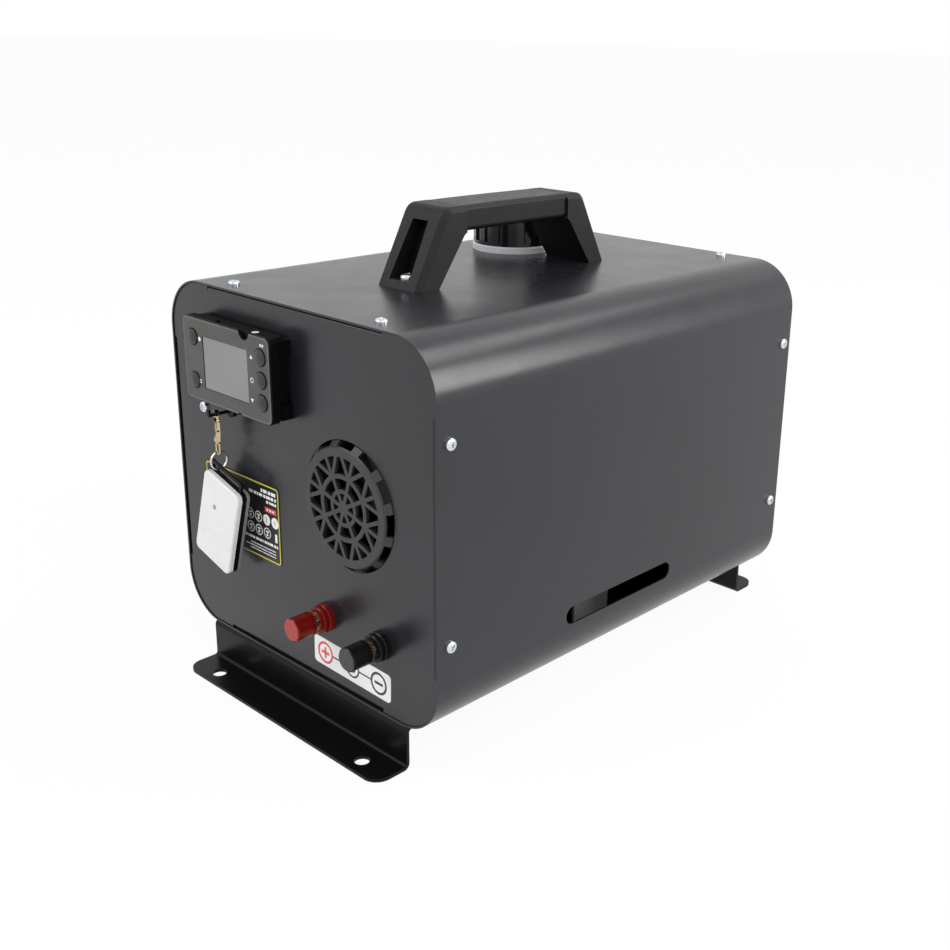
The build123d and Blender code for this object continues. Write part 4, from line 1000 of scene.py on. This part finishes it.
class HEATER_OT_controller_marks(bpy.types.Operator):
    """Print the controller's key signs and set its lamp window"""

    bl_idname = "heater.controller_marks"
    bl_label = "Controller Marks"

    def execute(self, context):
        size = context.scene.heater_details
        rise = size.print_rise
        face = bezel_low.y - size.film_rise
        middle_x = (bezel_low.x + bezel_high.x) / 2
        middle_z = (bezel_low.z + bezel_high.z) / 2
        white = finish_named("white_ink")
        parts = []

        def put(mark, x, z):
            parts.append(lay(mark, on_front(middle_x + x * MM, middle_z + z * MM, face), white))

        put(disc("heat_dot", HEAT_DOT_R, rise), *HEAT_DOT)
        for step in range(3):
            bar = plate("mode_bar", *MODE_BAR_SIZE, 0, rise)
            put(bar, MODE_BAR[0], MODE_BAR[1] + MODE_BAR_PITCH * step)
        put(triangle("up_arrow", ARROW_R, rise, 0.0), *UP_ARROW)
        for mark in power_mark(rise):
            put(mark, *POWER_SIGN)
        put(triangle("down_arrow", ARROW_R, rise, pi), *DOWN_ARROW)
        for place in CORNER_MARKS:
            put(plate("corner_mark", *CORNER_MARK_SIZE, MARK_CORNER, rise, 2), *place)
        spot = disc("lamp_window", LAMP_WINDOW_R, LAMP_WINDOW_RISE)
        seat = on_top(
            bezel_high.x - LAMP_WINDOW_IN, bezel_high.y - LAMP_WINDOW_BACK, bezel_high.z
        )
        parts.append(lay(spot, seat, white))
        marks = joined("controller_marks", parts, "heater")
        return {"FINISHED"}


# ---- information label
# Places and sizes are in millimetres, to the right of and above the label's middle.
LINE_INSET = 0.6
LINE_CORNER = 2.4 * MM
WORD_SHAPES = (1.1, 1.7, 0.8, 1.4, 2.1)  # widths of the blocks, in letter heights
WORD_GAP = 0.3  # in letter heights
WIDE_WORD_GAP = 0.6
WORD_CORNER = 0.15 * MM
HEAD_ROWS = (  # right end, height, length, letter height
    (34.6, 20.0, 14.5, 2.1),
    (35.0, 16.8, 27.0, 1.9),
    (35.0, 13.7, 10.0, 1.6),
)
FOOT_ROW = (35.0, -13.2, 33.0, 1.6)
FINE_ROW_RIGHT = 32.5
FINE_ROW_TOP = -16.8
FINE_ROW_PITCH = 1.9
FINE_ROW_LENGTHS = (24.0, 29.0, 26.0)
FINE_LETTER = 0.7
RED_PATCH = (29.0, 8.8)
RED_PATCH_SIZE = (11.0 * MM, 3.2 * MM)
RED_WORD_X = 26.0
RED_WORD_PITCH = 2.9
RED_WORD_SIZE = (1.6 * MM, 1.3 * MM)
ICON_ROWS = (2.0, -6.6)
ICON_COLUMNS = 4
FILLED_ICONS = 2  # of the upper row, from the right
ICON_RIGHT = 33.0
ICON_PITCH = 8.3
ICON_LINE = 0.6 * MM
ICON_SLIT = (0.5 * MM, 3.2 * MM)
ICON_SIGNS = ((3.0 * MM, 1.1 * MM, 1.0), (1.6 * MM, 1.8 * MM, -1.0))  # width, height, place
SIDE_MARK = (33.6, -7.6)
SIDE_MARK_SIZE = (2.2 * MM, 5.4 * MM)
SIGN_CORNER = 0.3 * MM
FINE_CORNER = 0.1 * MM
OVERPRINT = 1.3  # rise of a mark that lies on another


class HEATER_OT_info_label(bpy.types.Operator):
    """Print the information label with its outline, rows of plain blocks and round marks"""

    bl_idname = "heater.info_label"
    bl_label = "Information Label"

    def execute(self, context):
        size = context.scene.heater_details
        low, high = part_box("info_label")
        middle_x = (low.x + high.x) / 2
        middle_z = (low.z + high.z) / 2
        face = low.y
        rise = size.print_rise
        width = high.x - low.x - 2 * LINE_INSET * MM
        height = high.z - low.z - 2 * LINE_INSET * MM
        white = finish_named("white_ink")
        parts = []

        def put(mark, x, z, finish):
            parts.append(lay(mark, on_front(middle_x + x * MM, middle_z + z * MM, face), finish))

        def row_of_blocks(right, z, long, tall, step):
            """A row of short blocks that stands for a line of words."""
            start = right
            while start > right - long:
                wide = WORD_SHAPES[step % len(WORD_SHAPES)] * tall
                block = plate("word_block", wide * MM, tall * MM, WORD_CORNER, rise, 2)
                put(block, start - wide / 2, z, white)
                start -= wide + (WORD_GAP if step % 3 else WIDE_WORD_GAP) * tall
                step += 1

        def sign(name, sizes, corner, lift, x, z, finish):
            put(plate(name, *sizes, corner, rise * lift, 2), x, z, finish)

        line = outline("label_line", width, height, LINE_CORNER, size.label_border, rise)
        put(line, 0, 0, finish_named("line_ink"))
        for right, z, long, tall in HEAD_ROWS:
            row_of_blocks(right, z, long, tall, int(long))
        sign("red_patch", RED_PATCH_SIZE, MARK_CORNER, 1.0, *RED_PATCH, finish_named("red_ink"))
        for index in range(3):
            x = RED_WORD_X + RED_WORD_PITCH * index
            sign("red_word", RED_WORD_SIZE, FINE_CORNER, OVERPRINT, x, RED_PATCH[1], white)
        for row, z in enumerate(ICON_ROWS):
            for column in range(row, ICON_COLUMNS):
                x = ICON_RIGHT - ICON_PITCH * column
                if row == 0 and column < FILLED_ICONS:
                    put(disc("dot", size.icon_ring, rise), x, z, white)
                    black = finish_named("label_black")
                    sign("dot_slot", ICON_SLIT, FINE_CORNER, OVERPRINT, x, z, black)
                else:
                    inner = size.icon_ring - ICON_LINE
                    put(ring("circle", size.icon_ring, inner, rise), x, z, white)
                    for wide, tall, up in ICON_SIGNS:
                        sign("circle_sign", (wide, tall), SIGN_CORNER, 1.0, x, z + up, white)
        sign("side_mark", SIDE_MARK_SIZE, MARK_CORNER, 1.0, *SIDE_MARK, white)
        row_of_blocks(*FOOT_ROW, 2)
        for step, long in enumerate(FINE_ROW_LENGTHS):
            z = FINE_ROW_TOP - FINE_ROW_PITCH * step
            row_of_blocks(FINE_ROW_RIGHT, z, long, FINE_LETTER, step)
        marks = joined("info_label_print", parts, "heater")
        return {"FINISHED"}


# ---- polarity label
LABEL_TILT = radians(-1.6)
SIGN_REACH = 24.0 * MM  # of the plus and the minus from the label's middle
SIGN_RING = (7.0 * MM, 5.5 * MM)
SIGN_BAR = 7.2 * MM
SIGN_BAR_WIDTH = 1.7 * MM
CENTRE_X = 0.8 * MM
CENTRE_RING = (6.1 * MM, 4.9 * MM)
CENTRE_DOT_R = 2.8 * MM
LINK_WIDTH = 1.0 * MM
LINKS = ((-17.2 * MM, -5.3 * MM), (6.9 * MM, 17.2 * MM))
CROSSING_RISE = 1.05  # keeps crossing bars from lying in one plane
LINK_RISE = 0.95


class HEATER_OT_polarity_label(bpy.types.Operator):
    """Print the polarity label with its plus, centre and minus signs"""

    bl_idname = "heater.polarity_label"
    bl_label = "Polarity Label"

    def execute(self, context):
        rise = context.scene.heater_details.print_rise
        low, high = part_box("polarity_label")
        tilt = Matrix.Rotation(LABEL_TILT, 4, "Z")
        place = on_front((low.x + high.x) / 2, (low.z + high.z) / 2, low.y) @ tilt
        black = finish_named("black_ink")
        red = finish_named("red_ink")
        parts = []

        def put(mark, x, finish):
            parts.append(lay(mark, place @ Matrix.Translation((x, 0, 0)), finish))

        put(ring("plus_ring", *SIGN_RING, rise), -SIGN_REACH, red)
        put(plate("plus_bar", SIGN_BAR, SIGN_BAR_WIDTH, 0, rise), -SIGN_REACH, red)
        upright = plate("plus_post", SIGN_BAR_WIDTH, SIGN_BAR, 0, rise * CROSSING_RISE)
        put(upright, -SIGN_REACH, red)
        put(ring("centre_ring", *CENTRE_RING, rise), CENTRE_X, black)
        put(disc("centre_dot", CENTRE_DOT_R, rise), CENTRE_X, black)
        put(ring("minus_ring", *SIGN_RING, rise), SIGN_REACH, black)
        put(plate("minus_bar", SIGN_BAR, SIGN_BAR_WIDTH, 0, rise), SIGN_REACH, black)
        for start, end in LINKS:
            link = plate("link_line", end - start, LINK_WIDTH, 0, rise * LINK_RISE)
            put(link, (start + end) / 2, black)
        marks = joined("polarity_print", parts, "heater")
        return {"FINISHED"}


# ---- remote
LAMP_R = 1.6 * MM
LAMP_RISE = 0.05 * MM


class HEATER_OT_remote_lamp(bpy.types.Operator):
    """Set the small lamp into the remote's white cover"""

    bl_idname = "heater.remote_lamp"
    bl_label = "Remote Lamp"

    def execute(self, context):
        size = context.scene.heater_details
        low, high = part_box("fob_rear_cover")
        middle = (low + high) / 2
        lamp = disc("remote_lamp", LAMP_R, LAMP_RISE, 32)
        place = on_front(middle.x + size.lamp_across, middle.z + size.lamp_up, low.y)
        lay(lamp, place, finish_named("remote_lamp"))
        joined("remote_lamp", [lamp], "remote")
        return {"FINISHED"}


# ---- studio
FLOOR_SIZE = 60.0
FLOOR_GREY = 0.9
SENSOR_WIDTH = 36.0
NEAR_LIMIT = 0.01
LIT_CORNER = (0.12, -0.05, 0.24)
SOFTBOXES = (  # name, place, target, width, height, brightness setting
    ("tall softbox", (1.62, 1.12, 0.86), LIT_CORNER, 0.56, 1.2, "tall_light"),
    ("high softbox", (0.64, 1.07, 1.8), LIT_CORNER, 1.0, 0.8, "high_light"),
    ("side softbox", (2.2, -0.6, 1.5), LIT_CORNER, 1.6, 1.6, "side_light"),
    ("front softbox", (-1.0, -1.6, 1.6), (0, 0, 0.15), 1.2, 1.2, "front_light"),
)


def shader_nodes(owner):
    """An emptied node tree: its nodes and its links."""
    owner.use_nodes = True
    tree = owner.node_tree
    tree.nodes.clear()
    return tree.nodes, tree.links


def seen_directly(nodes, links):
    """1 for what the lens, a polished surface or glass sees, and 0 for what only lights."""
    path = nodes.new("ShaderNodeLightPath")
    either = nodes.new("ShaderNodeMath")
    either.operation = "MAXIMUM"
    links.new(path.outputs["Is Camera Ray"], either.inputs[0])
    links.new(path.outputs["Is Glossy Ray"], either.inputs[1])
    any_of = nodes.new("ShaderNodeMath")
    any_of.operation = "MAXIMUM"
    links.new(either.outputs[0], any_of.inputs[0])
    links.new(path.outputs["Is Transmission Ray"], any_of.inputs[1])
    return any_of.outputs[0]


def light_world(fill):
    """White surroundings, at full strength where they are seen."""
    world = bpy.data.worlds.new("Studio")
    bpy.context.scene.world = world
    nodes, links = shader_nodes(world)
    soft = nodes.new("ShaderNodeBackground")
    soft.inputs["Color"].default_value = (1, 1, 1, 1)
    soft.inputs["Strength"].default_value = fill
    seen = nodes.new("ShaderNodeBackground")
    seen.inputs["Color"].default_value = (1, 1, 1, 1)
    seen.inputs["Strength"].default_value = 1.0
    mix = nodes.new("ShaderNodeMixShader")
    links.new(seen_directly(nodes, links), mix.inputs["Fac"])
    links.new(soft.outputs[0], mix.inputs[1])
    links.new(seen.outputs[0], mix.inputs[2])
    out = nodes.new("ShaderNodeOutputWorld")
    links.new(mix.outputs[0], out.inputs["Surface"])


def floor_finish(glow):
    """White studio floor that keeps a soft shadow."""
    finish = bpy.data.materials.new("Studio floor")
    nodes, links = shader_nodes(finish)
    matt = nodes.new("ShaderNodeBsdfDiffuse")
    matt.inputs["Color"].default_value = (FLOOR_GREY, FLOOR_GREY, FLOOR_GREY, 1)
    white = nodes.new("ShaderNodeEmission")
    white.inputs["Color"].default_value = (1, 1, 1, 1)
    white.inputs["Strength"].default_value = 1.0
    part = nodes.new("ShaderNodeMath")
    part.operation = "MULTIPLY"
    part.inputs[1].default_value = glow
    links.new(seen_directly(nodes, links), part.inputs[0])
    mix = nodes.new("ShaderNodeMixShader")
    links.new(part.outputs[0], mix.inputs["Fac"])
    links.new(matt.outputs[0], mix.inputs[1])
    links.new(white.outputs[0], mix.inputs[2])
    out = nodes.new("ShaderNodeOutputMaterial")
    links.new(mix.outputs[0], out.inputs["Surface"])
    return finish


def softbox(name, place, target, width, height, radiance):
    """A rectangular lamp of a given brightness that faces a target."""
    lamp = bpy.data.lights.new(name, "AREA")
    lamp.shape = "RECTANGLE"
    lamp.size = width
    lamp.size_y = height
    lamp.energy = radiance * pi * width * height
    holder = bpy.data.objects.new(name, lamp)
    bpy.context.scene.collection.objects.link(holder)
    holder.location = place
    aim = Vector(target) - Vector(place)
    holder.rotation_euler = aim.to_track_quat("-Z", "Y").to_euler()
    return holder


class HEATER_OT_studio(bpy.types.Operator):
    """Set up the floor, the lamps and the camera"""

    bl_idname = "heater.studio"
    bl_label = "Studio"

    def execute(self, context):
        studio = context.scene.heater_studio
        clear_selection()
        bpy.ops.mesh.primitive_plane_add(size=FLOOR_SIZE, location=(0, 0, 0))
        floor = named("studio_floor")
        wear_finish(floor, floor_finish(studio.floor_glow))
        light_world(studio.fill)
        for name, place, target, width, height, light in SOFTBOXES:
            softbox(name, place, target, width, height, getattr(studio, light))
        lens = bpy.data.cameras.new("Camera")
        lens.lens = studio.lens
        lens.sensor_width = SENSOR_WIDTH
        lens.shift_x = studio.shift_across
        lens.shift_y = studio.shift_up
        lens.clip_start = NEAR_LIMIT
        camera = bpy.data.objects.new("Camera", lens)
        context.scene.collection.objects.link(camera)
        right = Vector(studio.camera_right)
        up = Vector(studio.camera_up)
        camera.matrix_world = turned(right, up, right.cross(up), studio.camera_place)
        context.scene.camera = camera
        context.scene.view_settings.view_transform = "Standard"
        return {"FINISHED"}


class HEATER_PT_panel(bpy.types.Panel):
    """The heater's settings and its pieces"""

    bl_label = "Heater"
    bl_idname = "HEATER_PT_panel"
    bl_space_type = "VIEW_3D"
    bl_region_type = "UI"
    bl_category = "Heater"

    def draw(self, context):
        layout = self.layout
        for group in ("heater_finishes", "heater_details", "heater_studio"):
            settings = getattr(context.scene, group)
            column = layout.box().column()
            for key in settings.bl_rna.properties.keys():
                if key not in ("rna_type", "name"):
                    column.prop(settings, key)
        for operator in OPERATORS:
            layout.operator(operator.bl_idname)


OPERATORS = (
    HEATER_OT_finishes,
    HEATER_OT_screws,
    HEATER_OT_controller_face,
    HEATER_OT_controller_marks,
    HEATER_OT_info_label,
    HEATER_OT_polarity_label,
    HEATER_OT_remote_lamp,
    HEATER_OT_studio,
)
SETTINGS = {
    "heater_finishes": HeaterFinishes,
    "heater_details": HeaterDetails,
    "heater_studio": HeaterStudio,
}


def register():
    for group in SETTINGS.values():
        bpy.utils.register_class(group)
    for operator in OPERATORS:
        bpy.utils.register_class(operator)
    bpy.utils.register_class(HEATER_PT_panel)
    for name, group in SETTINGS.items():
        setattr(bpy.types.Scene, name, PointerProperty(type=group))


def unregister():
    for name in SETTINGS:
        delattr(bpy.types.Scene, name)
    bpy.utils.unregister_class(HEATER_PT_panel)
    for operator in reversed(OPERATORS):
        bpy.utils.unregister_class(operator)
    for group in reversed(SETTINGS.values()):
        bpy.utils.unregister_class(group)


def main():
    """Registers the tools and runs each of them once, in order."""
    register()
    for operator in OPERATORS:
        group, action = operator.bl_idname.split(".")
        getattr(getattr(bpy.ops, group), action)()


if __name__ == "__main__":
    main()
